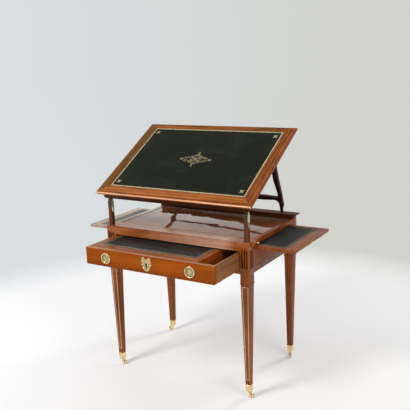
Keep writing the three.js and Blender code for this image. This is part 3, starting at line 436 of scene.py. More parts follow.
metalLook = {
    # bright and dull colour, blotch scale, colour where worn, wear, bump and metallic
    "castBrass": ((0.92, 0.70, 0.36), (0.60, 0.40, 0.17), 110.0, (1.0, 0.84, 0.52), 0.6, 0.12, 1.0),
    "tooledGilt": ((0.66, 0.55, 0.30), (0.36, 0.28, 0.14), 260.0, (0.9, 0.8, 0.5), 0.3, 0.3, 0.3),
    "fineGilt": ((0.46, 0.37, 0.19), (0.20, 0.155, 0.075), 200.0, (0.7, 0.6, 0.35), 0.3, 0.3, 0.3),
    "rubbedGilt": ((0.52, 0.42, 0.25), (0.22, 0.175, 0.10), 200.0, (0.5, 0.42, 0.24), 0.3, 0.3, 0.3),
    "stringBrass": ((0.86, 0.68, 0.46), (0.55, 0.40, 0.25), 160.0, (1.0, 0.85, 0.6), 0.3, 0.1, 0.5),
    # darkBronze also serves as painted shade on the post caps' shaded faces
    "darkBronze": ((0.085, 0.056, 0.022), (0.035, 0.020, 0.008), 90.0, (0.42, 0.33, 0.17), 0.7, 0.12, 0.6),
    "khakiBrass": ((0.40, 0.34, 0.15), (0.20, 0.16, 0.06), 240.0, (0.7, 0.6, 0.33), 0.6, 0.2, 0.4),
    "paleGold": ((0.82, 0.57, 0.31), (0.50, 0.31, 0.13), 130.0, (1.0, 0.86, 0.58), 0.6, 0.12, 0.5),
    # painted highlight on the post caps' lit faces
    "paleBrass": ((0.62, 0.56, 0.38), (0.36, 0.31, 0.18), 120.0, (0.85, 0.78, 0.55), 0.8, 0.12, 0.4),
}


def makeMetal(name, bright, dull, scale, wornColor, wear, bump, metallic):
    material, tree = startMaterial(name)
    vector = grainVector(tree, "x")
    patina = placeGroup(
        tree, metalPatina, Vector=vector, Bright=opaque(bright), Dull=opaque(dull), Scale=scale,
    )
    worn = placeGroup(
        tree, edgeWear, Vector=vector, Color=patina["Color"], Worn_Color=opaque(wornColor), Amount=wear,
    )
    given = {"Base Color": worn["Color"], "Roughness": patina["Roughness"], "Metallic": metallic}
    endMaterial(tree, given, patina["Height"], bump, 0.0001)
    return material


leather = {name: makeLeather(name, *look) for name, look in leatherLook.items()}
metal = {name: makeMetal(name, *look) for name, look in metalLook.items()}
mirrorWood = makeMirrorWood()
print("stage: materials")


# mesh helpers
def camel(first, name=""):
    words = [word for word in (first + "_" + name).split("_") if word]
    return words[0] + "".join(word[0].upper() + word[1:] for word in words[1:])


def arc(cx, cy, rx, ry, first, last, steps):
    angles = [first + k * (last - first) / steps for k in range(steps + 1)]
    return [(cx + rx * cos(angle), cy + ry * sin(angle)) for angle in angles]


def middle(node):
    low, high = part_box(node)
    return (low + high) / 2


def plan(node):
    # the area that a node covers, as two places in x and two in y
    low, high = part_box(node)
    return low.x, high.x, low.y, high.y


def moved(x, y, z=0.0):
    return Matrix.Translation((x, y, z))


def facing(x, y, z):
    # turns a shape built about Z so that it faces the front, at a place
    return moved(x, y, z) @ Matrix.Rotation(pi / 2, 4, "X")


def markEdges(work, width):
    # 1 on the middle of a narrow bevel, 0 beside a broad face
    layer = work.verts.layers.float.get("edge") or work.verts.layers.float.new("edge")
    thin = {}
    for face in work.faces:
        longest = max(edge.calc_length() for edge in face.edges)
        thin[face] = face.calc_area() < longest * width
    for vert in work.verts:
        vert[layer] = 1.0 if vert.link_faces and all(thin[face] for face in vert.link_faces) else 0.0


def dress(mesh, materials, smoothAngle):
    # a list of materials keeps each face's own choice among them, and no angle keeps the mesh's normals
    several = isinstance(materials, list)
    chosen = [face.material_index for face in mesh.polygons]
    mesh.materials.clear()
    for material in materials if several else [materials]:
        mesh.materials.append(material)
    if several:
        mesh.polygons.foreach_set("material_index", chosen)
    mesh.polygons.foreach_set("use_smooth", [True] * len(mesh.polygons))
    if smoothAngle is not None:
        mesh.set_sharp_from_angle(angle=radians(smoothAngle))


def makePiece(name, work, materials, smoothAngle=35, edgeWidth=0.0009, matrix=None):
    bmesh.ops.recalc_face_normals(work, faces=work.faces)
    if edgeWidth:
        markEdges(work, edgeWidth)
    mesh = bpy.data.meshes.new(name)
    work.to_mesh(mesh)
    work.free()
    if matrix is not None:
        mesh.transform(matrix)
    dress(mesh, materials, smoothAngle)
    return linkObject(name, mesh)


def settle(thing, name, materials, smoothAngle=35, edgeWidth=0.0009, matrix=None):
    # turns an object and its modifiers into one plain mesh
    bpy.context.view_layer.update()
    mesh = bpy.data.meshes.new_from_object(thing.evaluated_get(bpy.context.evaluated_depsgraph_get()))
    bpy.data.objects.remove(thing)
    if matrix is not None:
        mesh.transform(matrix)
    if edgeWidth:
        work = bmesh.new()
        work.from_mesh(mesh)
        markEdges(work, edgeWidth)
        values = [vert[work.verts.layers.float["edge"]] for vert in work.verts]
        work.free()
        attribute = mesh.attributes.get("edge") or mesh.attributes.new("edge", "FLOAT", "POINT")
        attribute.data.foreach_set("value", values)
    mesh.name = name
    dress(mesh, materials, smoothAngle)
    return linkObject(name, mesh)


def skin(work, rings, closeRound=False):
    # walls from ring to ring, then ends, or a last wall back to the first ring
    pairs = list(zip(rings, rings[1:])) + ([(rings[-1], rings[0])] if closeRound else [])
    for low, high in pairs:
        count = max(len(low), len(high))
        for k in range(count):
            n = (k + 1) % count
            if len(low) == 1:
                work.faces.new((low[0], high[n], high[k]))
            elif len(high) == 1:
                work.faces.new((low[k], low[n], high[0]))
            else:
                work.faces.new((low[k], low[n], high[n], high[k]))
    if not closeRound:
        if len(rings[0]) > 2:
            work.faces.new(list(reversed(rings[0])))
        if len(rings[-1]) > 2:
            work.faces.new(rings[-1])
    return work


def ringPoints(x0, x1, y0, y1, radius, steps):
    x0, x1, y0, y1 = x0 + radius, x1 - radius, y0 + radius, y1 - radius
    points = []
    for k, (x, y) in enumerate(((x1, y1), (x0, y1), (x0, y0), (x1, y0))):
        points += arc(x, y, radius, radius, k * pi / 2, (k + 1) * pi / 2, steps)
    return points


def roundedLoft(levels, steps=3, work=None):
    # levels of (z, x0, x1, y0, y1, corner radius), from the lowest up
    work = work or bmesh.new()
    rings = [[work.verts.new((x, y, level[0])) for x, y in ringPoints(*level[1:], steps)] for level in levels]
    return skin(work, rings)


def square(z, size, radius):
    return z, -size / 2, size / 2, -size / 2, size / 2, radius


def turnedBody(profile, steps, work=None, matrix=Matrix.Identity(4), hollow=False):
    # (radius, height) points that start and end on the axis, or go round a hollow
    work = work or bmesh.new()
    rings = []
    for radius, height in profile:
        count = 1 if radius < 1e-7 else steps
        angles = [2 * pi * k / steps for k in range(count)]
        spots = [Vector((radius * cos(angle), radius * sin(angle), height)) for angle in angles]
        rings.append([work.verts.new(matrix @ spot) for spot in spots])
    return skin(work, rings, closeRound=hollow)


def ringProfile(major, minor, sides, squash=1.0):
    # the section of a ring of round wire, for turnedBody
    return arc(major, 0, minor, minor * squash, 0, 2 * pi * (sides - 1) / sides, sides - 1)


def mitredStrip(work, x0, x1, y0, y1, profile):
    # a profile of (inset, height) points carried round a rectangle
    corners = ((x0, y0, 1, 1), (x1, y0, -1, 1), (x1, y1, -1, -1), (x0, y1, 1, -1))
    rings = [
        [work.verts.new((x + sx * inset, y + sy * inset, z)) for inset, z in profile]
        for x, y, sx, sy in corners
    ]
    return skin(work, rings, closeRound=True)


def addRibbon(work, points, widths, floor, height, matrix=Matrix.Identity(4)):
    # a low rounded strip along (x, y) points
    rings = []
    for k, (x, y) in enumerate(points):
        (a, b), (c, d) = points[max(k - 1, 0)], points[min(k + 1, len(points) - 1)]
        length = hypot(c - a, d - b) or 1.0
        nx, ny = -(d - b) / length * widths[k] / 2, (c - a) / length * widths[k] / 2
        spots = [(x + nx, y + ny, floor), (x, y, floor - height / 2)]
        spots += [(x - nx, y - ny, floor), (x, y, floor + height)]
        rings.append([work.verts.new(matrix @ Vector(spot)) for spot in spots])
    return skin(work, rings)


def bezier(points, steps):
    (x0, y0), (x1, y1), (x2, y2), (x3, y3) = points
    made = []
    for k in range(steps + 1):
        t = k / steps
        a, b, c, d = (1 - t) ** 3, 3 * t * (1 - t) ** 2, 3 * t * t * (1 - t), t ** 3
        made.append((a * x0 + b * x1 + c * x2 + d * x3, a * y0 + b * y1 + c * y2 + d * y3))
    return made


def spiral(cx, cy, outer, inner, start, turns, steps):
    made = []
    for k in range(steps + 1):
        radius, angle = outer + (inner - outer) * k / steps, start + turns * 2 * pi * k / steps
        made.append((cx + radius * cos(angle), cy + radius * sin(angle)))
    return made


def swell(count, first, most, last):
    # widths that grow from the first to the most at mid-length and sink to the last
    widths = []
    for k in range(count):
        start, nearEnd = (first, k) if k < (count - 1) / 2 else (last, count - 1 - k)
        widths.append(start + (most - start) * sin(pi / 2 * min(1, 2 * nearEnd / (count - 1))))
    return widths


def addStroke(work, path, widths, scale, flip, floor, height, matrix=Matrix.Identity(4)):
    wide, tall, thick = scale
    points = [(flip[0] * x * wide, flip[1] * y * tall) for x, y in path]
    addRibbon(work, points, [width * thick for width in swell(len(path), *widths)], floor, height, matrix)


def carved(rough, cutters, name, material, matrix=None):
    # cuts closed shapes out of a piece and settles what is left
    knife = makePiece(name + "Knife", cutters, material, edgeWidth=None)
    cut = rough.modifiers.new("cut", "BOOLEAN")
    cut.operation, cut.solver, cut.object = "DIFFERENCE", "EXACT", knife
    piece = settle(rough, name, material, matrix=matrix)
    bpy.data.objects.remove(knife)
    return piece


def attach(piece, body):
    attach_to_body(piece, body)


def standFor(piece, node):
    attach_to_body(piece, bodyOf[node])
    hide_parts(node)
    return piece


def softened(node, material, width=0.0007, segments=2, limit=28, name=None):
    # a copy of a solid with its edges eased
    name = name or camel(node)
    work = bmesh.new()
    work.from_mesh(nodes[node].data)
    bmesh.ops.remove_doubles(work, verts=work.verts, dist=0.00002)
    bmesh.ops.dissolve_limit(work, angle_limit=radians(0.4), verts=work.verts, edges=work.edges)
    mesh = bpy.data.meshes.new(name)
    work.to_mesh(mesh)
    work.free()
    mesh.polygons.foreach_set("use_smooth", [True] * len(mesh.polygons))
    thing = linkObject(name + "Rough", mesh)
    ease = thing.modifiers.new("ease", "BEVEL")
    ease.width, ease.segments = width, segments
    ease.limit_method, ease.angle_limit = "ANGLE", radians(limit)
    ease.harden_normals = True
    return standFor(settle(thing, name, material, None, width * 1.3), node)


# how far a face has to turn to a side to count as facing it
turnedTo = {"top": 0.7, "arris": 0.6, "capSide": 0.4, "groove": 0.25}


def repaint(piece, material, test):
    # gives another finish to the faces that pass a test of their middle and normal
    piece.data.materials.append(material)
    for face in piece.data.polygons:
        if test(face.center, face.normal):
            face.material_index = len(piece.data.materials) - 1


def looksUp(normal):
    return normal.z > turnedTo["top"]


# Geometry Nodes
def buildScatter(name, inputs, sizes, segments, rings, layOut):
    # small rounded bodies at the points of a layout, each turned the way the layout gives
    tree = bpy.data.node_groups.new(name, "GeometryNodeTree")
    tree.interface.new_socket(name="Geometry", in_out="OUTPUT", socket_type="NodeSocketGeometry")
    kinds = {**inputs, **{label: "Float" for label in sizes}, "Finish": "Material"}
    for label, kind in kinds.items():
        tree.interface.new_socket(name=label, in_out="INPUT", socket_type="NodeSocket" + kind)
    given = tree.nodes.new("NodeGroupInput").outputs
    points, way = layOut(tree, given)
    turned = addNode(tree, "FunctionNodeAlignRotationToVector", {"Vector": way}, axis="X")["Rotation"]
    ball = {"Segments": segments, "Rings": rings, "Radius": 0.5}
    scale = {axis: given[label] for axis, label in zip("XYZ", sizes)}
    shaped = {
        "Geometry": addNode(tree, "GeometryNodeMeshUVSphere", ball)["Mesh"],
        "Scale": addNode(tree, "ShaderNodeCombineXYZ", scale)["Vector"],
    }
    placed = {
        "Points": points, "Rotation": turned,
        "Instance": addNode(tree, "GeometryNodeTransform", shaped)["Geometry"],
    }
    scattered = addNode(tree, "GeometryNodeInstanceOnPoints", placed)["Instances"]
    whole = addNode(tree, "GeometryNodeRealizeInstances", {"Geometry": scattered})["Geometry"]
    painted = {"Geometry": whole, "Material": given["Finish"]}
    finished = addNode(tree, "GeometryNodeSetMaterial", painted)["Geometry"]
    addNode(tree, "NodeGroupOutput", {"Geometry": finished})
    return tree


def alongRectangle(tree, given):
    sides = {"Width": given["Width"], "Height": given["Length"]}
    path = addNode(tree, "GeometryNodeCurvePrimitiveQuadrilateral", sides)["Curve"]
    spaced = {"Curve": path, "Length": given["Spacing"]}
    stops = addNode(tree, "GeometryNodeCurveToPoints", spaced, mode="LENGTH")
    return stops["Points"], stops["Tangent"]


def roundCircle(tree, given):
    circle = {"Vertices": given["Count"], "Radius": given["Radius"]}
    place = addNode(tree, "GeometryNodeInputPosition")["Position"]
    return addNode(tree, "GeometryNodeMeshCircle", circle)["Mesh"], place


def grown(tree, name, values, material, matrix):
    # runs a tree with its values and keeps the result as a plain mesh
    thing = linkObject(name + "Seed", bpy.data.meshes.new(name + "Seed"))
    grow = thing.modifiers.new("grow", "NODES")
    grow.node_group = tree
    values = {**values, "Finish": material}
    for item in tree.interface.items_tree:
        if item.item_type == "SOCKET" and item.in_out == "INPUT":
            grow[item.identifier] = values[item.name]
    return settle(thing, name, material, 40, None, matrix)


tooledBand = buildScatter(
    "tooledBand", {"Width": "Float", "Length": "Float", "Spacing": "Float"},
    ("Lens Length", "Lens Width", "Relief"), 8, 4, alongRectangle,
)
petalRing = buildScatter(
    "petalRing", {"Count": "Int", "Radius": "Float"},
    ("Petal Length", "Petal Width", "Petal Height"), 12, 6, roundCircle,
)
print("stage: geometry trees")


# leather skins with their gilt tooling
tooling = {
    "slope": {
        "finish": "tooledGilt", "lineWidth": 0.0011, "lines": (0.0014, 0.0084), "bandInset": 0.0049,
        "spacing": 0.0036, "lens": (0.0040, 0.0056), "relief": 0.0005, "ground": 0.0034,
    },
    "slide": {
        "finish": "rubbedGilt", "lineWidth": 0.0016, "lines": (0.0020, 0.0130), "bandInset": 0.0076,
        "spacing": 0.0090, "lens": (0.0034, 0.0034), "relief": 0.0004, "ground": 0.0,
    },
    "board": {
        "finish": "tooledGilt", "lineWidth": 0.0023, "lines": (0.0026, 0.0130), "bandInset": 0.0078,
        "spacing": 0.0090, "lens": (0.0038, 0.0038), "relief": 0.0004, "ground": 0.0,
    },
}
leatherEdge = {"ease": 0.0004, "corner": 0.001, "lineLift": 0.00012}


def leatherSkin(name, node, area, z0, z1, matrix, finish):
    x0, x1, y0, y1 = area
    ease, corner = leatherEdge["ease"], leatherEdge["corner"]
    work = roundedLoft([
        (z0, *area, corner), (z1 - ease, *area, corner),
        (z1, x0 + ease, x1 - ease, y0 + ease, y1 - ease, corner),
    ])
    standFor(makePiece(name, work, finish, matrix=matrix, edgeWidth=None), node)


def giltBorder(name, body, area, z, matrix, rolls):
    x0, x1, y0, y1 = area
    work, finish = bmesh.new(), metal[rolls["finish"]]
    half, lift = rolls["lineWidth"] / 2, leatherEdge["lineLift"]

    def addStrip(inset, profile):
        mitredStrip(work, x0 + inset, x1 - inset, y0 + inset, y1 - inset, profile)

    for inset in rolls["lines"]:
        addStrip(inset - half, [(0, z - lift), (half, z + lift), (2 * half, z - lift)])
    wide, inset = rolls["ground"], rolls["bandInset"]
    if wide:
        flat = z + lift * 0.6
        addStrip(inset - wide / 2, [(0, z - lift), (wide * 0.1, flat), (wide * 0.9, flat), (wide, z - lift)])
    attach(makePiece(name + "Lines", work, finish, matrix=matrix, edgeWidth=None), body)
    values = {
        "Width": x1 - x0 - 2 * inset, "Length": y1 - y0 - 2 * inset, "Spacing": rolls["spacing"],
        "Lens Length": rolls["lens"][0], "Lens Width": rolls["lens"][1], "Relief": rolls["relief"],
    }
    place = matrix @ moved((x0 + x1) / 2, (y0 + y1) / 2, z)
    attach(grown(tooledBand, name + "Band", values, finish, place), body)


# writing top
topShape = {
    "pivot": (-0.021, -0.12575, 0.9045), "halfWidth": 0.421, "front": -0.044, "back": 0.523,
    "under": 0.011, "top": 0.031, "seat": 0.0298, "joint": 0.0003, "mapShift": 1.7,
    "leatherSide": 0.0545, "leatherFront": 0.058, "leatherBack": 0.038, "leatherTop": 0.0309,
    # the moulded edge: nose, steps of (inset, drop below the top) and cove
    "nose": (0.0070, 0.0048),
    "steps": [(0.0006, 0.0066), (0.0018, 0.0080), (0.0034, 0.0085), (0.0036, 0.0096)],
    "cove": (0.0088, 0.0084), "coveRise": 0.0096, "foot": 0.0130,
}
topMatrix = moved(*topShape["pivot"]) @ Matrix.Rotation(slope, 4, "X")
topArea = (
    topShape["leatherSide"] - topShape["halfWidth"], topShape["halfWidth"] - topShape["leatherSide"],
    topShape["front"] + topShape["leatherFront"], topShape["back"] - topShape["leatherBack"],
)


def addWritingTop():
    top, under, seat, joint = topShape["top"], topShape["under"], topShape["seat"], topShape["joint"]
    (wide, high), foot = topShape["nose"], topShape["foot"]
    nose = arc(wide, top - high, wide, high, pi / 2, pi, 8)
    nose += [(inset, top - drop) for inset, drop in topShape["steps"]]
    cove = arc(foot, under + topShape["coveRise"], *topShape["cove"], pi, 1.5 * pi, 6)
    outer = nose + cove + [(foot, under)]
    # the four rails differ in width, so each corner of the inner edge is its own
    rings = []
    work = bmesh.new()
    grain = work.loops.layers.uv.new("grain")
    for sx, sy in ((1, 1), (-1, 1), (-1, -1), (1, -1)):
        x, y = -sx * topShape["halfWidth"], topShape["front"] if sy > 0 else topShape["back"]
        wideX = topShape["leatherSide"]
        wideY = topShape["leatherFront"] if sy > 0 else topShape["leatherBack"]
        ring = [(x + sx * inset, y + sy * inset, z) for inset, z in outer]
        ring += [(x + sx * wideX, y + sy * wideY, z) for z in (under, top - joint)]
        ring += [(x + sx * (wideX - joint), y + sy * (wideY - joint), top)]
        rings.append([work.verts.new(spot) for spot in ring])
    # on the front rail the nose and the strip at the cove's foot get a painted highlight in the nose tone; the
    # coves, and the nose on the right side, get painted shade in the cove tone
    noseFaces, coveFaces, paintedHighlightFoot = range(1, 7), range(len(nose) + 2, len(outer)), len(outer) - 2
    for side in range(4):
        near, far = rings[side], rings[(side + 1) % 4]
        for k in range(len(near)):
            n = (k + 1) % len(near)
            face = work.faces.new((near[k], far[k], far[n], near[n]))
            bright = side == 0 and (k in noseFaces or k == paintedHighlightFoot)
            dull = k in coveFaces or side == 1 and k in noseFaces
            face.material_index = 4 if bright else 5 if dull else side
            for loop in face.loops:
                spot = loop.vert.co
                along, across = (spot.x, spot.y) if side % 2 == 0 else (spot.y, spot.x)
                turned = -across if side in (1, 2) else across
                loop[grain].uv = (along + topShape["mapShift"] * side, turned + spot.z * 1.3)
    # the rails' own tones, then the painted highlight and the painted shade of the edge
    rails = [
        wood("frameFront", "uv", 2.0, 1.2), wood("frame", "uv", 2.6, 1.25), wood("frameBack", "uv", 3.1, 1.2),
        wood("frameLeft", "uv", 4.3, 1.3), wood("nose", "uv", 1.0), wood("cove", "uv", 5.0),
    ]
    board = makePiece("writingTopFrame", work, rails, matrix=topMatrix, smoothAngle=38)
    standFor(board, "writing_top")
    core = roundedLoft([(under, *topArea, 0.0002), (seat, *topArea, 0.0002)], steps=1)
    shade = wood("shade", "slopeX", 1.0)
    filling = makePiece("writingTopCore", core, shade, matrix=topMatrix, edgeWidth=None)
    attach(filling, "writing_top")
    x0, x1, y0, y1 = topArea
    shown = (x0 + joint, x1 - joint, y0 + joint, y1 - joint)
    level, finish = topShape["leatherTop"], leather["greenBlack"]
    leatherSkin("writingLeather", "writing_leather", shown, seat + 0.0001, level, topMatrix, finish)
    giltBorder("writingGilt", "writing_top", shown, level, topMatrix, tooling["slope"])
    # the sub-frame beneath the writing top is darkened: painted shade
    softened("sub_frame", wood("under", "slopeX", 3.0), width=0.0008, name="writingUnderFrame")


ornament = {
    "centre": (-0.004, 0.2475), "relief": 0.00028, "scale": (0.00086, 0.00080, 0.00062),
    "tips": [(90, 0, 0), (-90, 0, pi), (0, 56, pi / 2), (0, -56, -pi / 2)],
    "leaves": [(0, 0.012), (0.9, 0.008), (-0.9, 0.008), (pi, 0.012)], "leafWidth": 0.0032,
    "cross": (0.012, 0.005),
    # strokes of one quarter in millimetres: Bezier points, then width at the start, middle and end
    "strokes": [
        ([(2, 4), (14, 16), (34, 20), (48, 12)], (1.4, 4.2, 2.2)),
        ([(48, 12), (56, 7), (66, 6), (76, 9)], (2.2, 3.6, 1.6)),
        ([(76, 9), (82, 11), (88, 7), (92, 1)], (1.6, 3.2, 1.2)),
        ([(6, 22), (16, 26), (26, 27), (34, 20)], (1.2, 3.4, 1.6)),
        ([(3, 24), (6, 34), (4, 42), (10, 50)], (1.4, 3.8, 1.4)),
        ([(12, 6), (22, 4), (30, 3), (40, 2)], (1.2, 3.0, 1.2)),
        ([(14, 28), (20, 34), (26, 34), (31, 30)], (1.2, 3.2, 1.2)),
        ([(2, 10), (8, 12), (10, 18), (3, 22)], (1.2, 2.8, 1.2)),
    ],
    # centre, outer and inner radius, start angle and turns
    "scrolls": [
        (52, 21, 8, 2.4, -2.2, 1.15), (23, 13, 6.5, 2.0, 2.6, -1.2), (11, 38, 6, 2.0, -0.4, 1.1),
        (66, 14, 5.5, 1.8, 3.4, -1.1), (33, 27, 5.0, 1.6, -1.2, 1.0),
    ],
    "scrollWidths": (1.0, 2.8, 2.6),
}
fleuron = {"inset": (0.031, 0.036), "reach": 0.0145, "width": 0.0046, "shortReach": 0.62, "shortWidth": 0.7}


def leafStroke(work, x, y, angle, length, width):
    count = 9
    reaches = [length * k / (count - 1) for k in range(count)]
    points = [(x + reach * cos(angle), y + reach * sin(angle)) for reach in reaches]
    widths = [max(0.0005, width * sin(pi * (k + 0.35) / (count + 0.2)) ** 0.8) for k in range(count)]
    addRibbon(work, points, widths, topShape["leatherTop"], ornament["relief"])


def addOrnament():
    # the gilt lozenge of scrolls in the middle and a small leaf cross near each corner
    g, z = ornament, topShape["leatherTop"]
    ox, oy = g["centre"]
    wide, tall = g["scale"][:2]
    work = bmesh.new()
    paths = [(bezier(points, 12), widths) for points, widths in g["strokes"]]
    paths += [(spiral(*scroll, 18), g["scrollWidths"]) for scroll in g["scrolls"]]
    for flip in ((1, 1), (1, -1), (-1, 1), (-1, -1)):
        for path, widths in paths:
            addStroke(work, path, widths, g["scale"], flip, z, g["relief"], moved(ox, oy))
    for x, y, angle in g["tips"]:
        for lean, length in g["leaves"]:
            leafStroke(work, ox + x * wide, oy + y * tall, angle + lean, length, g["leafWidth"])
    for k in range(4):
        leafStroke(work, ox, oy, k * pi / 2 + pi / 4, *g["cross"])
    dx, dy = fleuron["inset"]
    for x in (topArea[0] + dx, topArea[1] - dx):
        for y in (topArea[2] + dy, topArea[3] - dy):
            for k in range(8):
                reach = fleuron["reach"] * (1 if k % 2 else fleuron["shortReach"])
                width = fleuron["width"] * (1 if k % 2 else fleuron["shortWidth"])
                leafStroke(work, x, y, k * pi / 4, reach, width)
    piece = makePiece("writingGiltOrnament", work, metal["fineGilt"], matrix=topMatrix, edgeWidth=None)
    attach(piece, "writing_top")


addWritingTop()
addOrnament()
print("stage: writing top")


# strut, posts and catches
postWoodSeed = {"left": 2.0, "right": 5.0}
softened("strut", wood("ebonised", "z", 1.0), width=0.0022, segments=3, name="strutFrame")
for side, seed in postWoodSeed.items():
    softened("post_" + side, wood("shade", "z", seed), width=0.0009)
    # the brass caps: dark bronze for painted shade, and pale brass on the right side and top for painted highlight
    cap = softened("post_cap_" + side, metal["darkBronze"], width=0.0006)
    repaint(cap, metal["paleBrass"], lambda spot, normal: normal.x > turnedTo["capSide"] or looksUp(normal))
    knob = camel("catchKnob", side)
    softened("catch_" + side, metal["castBrass"], width=0.0002, segments=1, name=knob)
print("stage: strut, posts and catches")


# fixed top, front rail and rear ledge
panel = softened("top_panel", mirrorWood, width=0.0008, name="polishedPanel")
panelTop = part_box("top_panel")[1].z - 0.001
# the panel's sides and its wall of the groove get painted shade, near black
paintedGrooveShade = wood("gap", "y", 3.0)
repaint(panel, paintedGrooveShade, lambda spot, normal: spot.z < panelTop or normal.x < -turnedTo["groove"])
# its eased front edge, paled by the edge wear, carries a painted highlight
softened("front_rail", wood("rail", "x", 4.0, 1.2), width=0.0010, limit=40)
strip = softened("side_rail_left", wood("shade", "y", 1.0))
# its top faces get painted glare
repaint(strip, wood("hazed", "y", 1.0), lambda spot, normal: looksUp(normal))
# the strip's wall of the groove gets painted shade, near black
repaint(strip, paintedGrooveShade, lambda spot, normal: normal.x > turnedTo["groove"])
softened("side_rail_right", wood("body", "y", 2.0))
softened("rear_rail", wood("body", "x", 9.0), width=0.0005)
softened("slide_bearer", wood("inner", "x", 1.0), width=0.0006)
softened("drawer_frame", wood("body", "x", 5.0))
for side, grain, seed in (("left", "y", 6.0), ("right", "y", 6.0), ("back", "x", 7.0)):
    softened("apron_" + side, wood("body", grain, seed), width=0.0008)

rearLedge = {
    "cap": 0.0065, "side": 0.020, "nose": 0.003, "corner": 0.0008, "sink": 0.0004,
    # the bead under the cap as (how far out, drop below the cap), then the cap's hollow and round
    "bead": [(0, 0.0034), (0.0008, 0.0032), (0.0024, 0.0024), (0.0030, 0.0010), (0.0030, 0)],
    "hollow": (0.0002, 0.0022), "round": (0.0030, 0.0036),
}


def addRearLedge():
    g = rearLedge
    x0, x1, y0, y1 = plan("rear_ledge")
    low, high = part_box("rear_ledge")
    side, nose, cap = g["side"], g["nose"], high.z - g["cap"]
    (fillet, hollow), (roundWide, roundTall) = g["hollow"], g["round"]
    # (how far the moulding stands out, height) from the foot up
    profile = [(-g["sink"], low.z), (0, low.z + g["sink"])] + [(out, cap - drop) for out, drop in g["bead"]]
    profile += arc(nose, cap + hollow, side - nose - fillet, hollow, pi / 16 - pi / 2, 0, 7)
    profile += arc(side - roundWide, high.z - roundTall, roundWide, roundTall, 0, pi / 2, 7)
    levels = []
    for out, z in profile:
        # the sides stand out further than the front and back do
        wide, deep, corner = out - side, min(out, nose) - nose, g["corner"] + max(0, out) * 0.1
        levels.append((z, x0 - wide, x1 + wide, y0 - deep, y1 + deep, corner))
    # the rear ledge is darkened: painted shade
    piece = makePiece("rearLedge", roundedLoft(levels), wood("ledge", "x", 8.0), smoothAngle=40)
    standFor(piece, "rear_ledge")


addRearLedge()
print("stage: fixed top and ledge")


# legs, shoes and casters
legShape = {
    "foot": 0.0355, "shoeTop": 0.066, "shaftTop": 0.548, "collarTop": 0.556, "neckTop": 0.597,
    "fluteFoot": 0.622, "dieTop": 0.7155, "ankleSize": 0.0195, "shoeSize": 0.0214,
    "footSize": 0.025, "shaftSize": 0.044, "neckSize": 0.046, "dieSize": 0.048, "corner": 0.0009,
    # (height, how far in) of the collar's and the die's eased edges
    "collarEdge": [(0.0001, 0.0022), (0.0004, 0.0009), (0.0014, 0)], "dieEdge": [(0, 0.0008), (0.0006, 0)],
    "headEdge": [(0.0003, 0), (0, 0.0006)], "shoulder": 0.0001, "lip": 0.0002,
    "fluteRadius": 0.005, "fluteDepth": 0.002, "fluteMargin": 0.007,
    "wellHalf": 0.0106, "wellFrom": 0.553, "wellTo": 0.75, "wellCorner": 0.0004,
    # what counts as a flute's inside: depths past the face and the flute, end and side margins
    "fluteSkin": (0.0003, 0.0004), "fluteEnd": 0.001, "fluteSide": 0.003,
}


def fluteCutters(work, turn, low, high):
    radius, die = legShape["fluteRadius"], legShape["dieSize"]
    profile = arc(0, low + radius, radius, radius, -pi / 2, 0, 6)
    profile += arc(0, high - radius, radius, radius, 0, pi / 2, 6)
    for offset in (-die / 4, 0, die / 4):
        place = moved(offset, die / 2 + radius - legShape["fluteDepth"])
        turnedBody(profile, 32, work, Matrix.Rotation(turn, 4, "Z") @ place)


def addLeg(name, sideX, sideY):
    g = legShape
    node, label, centre = "leg_" + name, camel("leg", name), middle("leg_" + name)
    shaft, collar, neck, die = g["shaftTop"], g["collarTop"], g["neckTop"], g["dieSize"]
    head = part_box(node)[1].z
    sections = [(g["foot"], g["ankleSize"]), (g["shoeTop"], g["shoeSize"])]
    sections += [(g["shoeTop"] + g["lip"], g["footSize"]), (shaft, g["shaftSize"])]
    sections += [(shaft + rise, die - inset) for rise, inset in g["collarEdge"]]
    sections += [(collar - rise, die - inset) for rise, inset in g["collarEdge"][:0:-1]]
    sections += [(collar, g["neckSize"]), (neck - g["shoulder"], g["neckSize"])]
    sections += [(neck + rise, die - inset) for rise, inset in g["dieEdge"]]
    sections += [(head - drop, die - inset) for drop, inset in g["headEdge"]]
    tone, place = wood("leg", "z", 1.0 + sideX + 3 * sideY), moved(centre.x, centre.y)
    work = roundedLoft([square(z, size, g["corner"]) for z, size in sections])
    if sideY > 0:
        standFor(makePiece(label, work, tone, matrix=place), node)
        return
    rough = makePiece(label + "Rough", work, tone, edgeWidth=None)
    cutters = bmesh.new()
    bottom, top = g["fluteFoot"], g["dieTop"] - g["fluteMargin"]
    fluteCutters(cutters, pi, bottom, top)
    fluteCutters(cutters, -sideX * pi / 2, bottom, top)
    # the well of the rising post
    post, half = middle("post_left" if sideX < 0 else "post_right") - centre, g["wellHalf"]
    well = (post.x - half, post.x + half, post.y - half, post.y + half, g["wellCorner"])
    roundedLoft([(g["wellFrom"], *well), (g["wellTo"], *well)], 1, cutters)
    piece = carved(rough, cutters, label, tone, place)
    shallow, deep = g["fluteSkin"][0], g["fluteDepth"] + g["fluteSkin"][1]

    def inFlute(spot, normal):
        x, y = spot.x - centre.x, spot.y - centre.y
        fromFront, fromSide = y + die / 2, die / 2 - sideX * x
        across = abs(x) if fromFront < deep else abs(y)
        level = bottom - g["fluteEnd"] < spot.z < top + g["fluteEnd"]
        return level and shallow < min(fromFront, fromSide) < deep and across < die / 2 - g["fluteSide"]

    # the flutes' insides get painted shade
    repaint(piece, wood("flute", "z", 3.0), inFlute)
    standFor(piece, node)


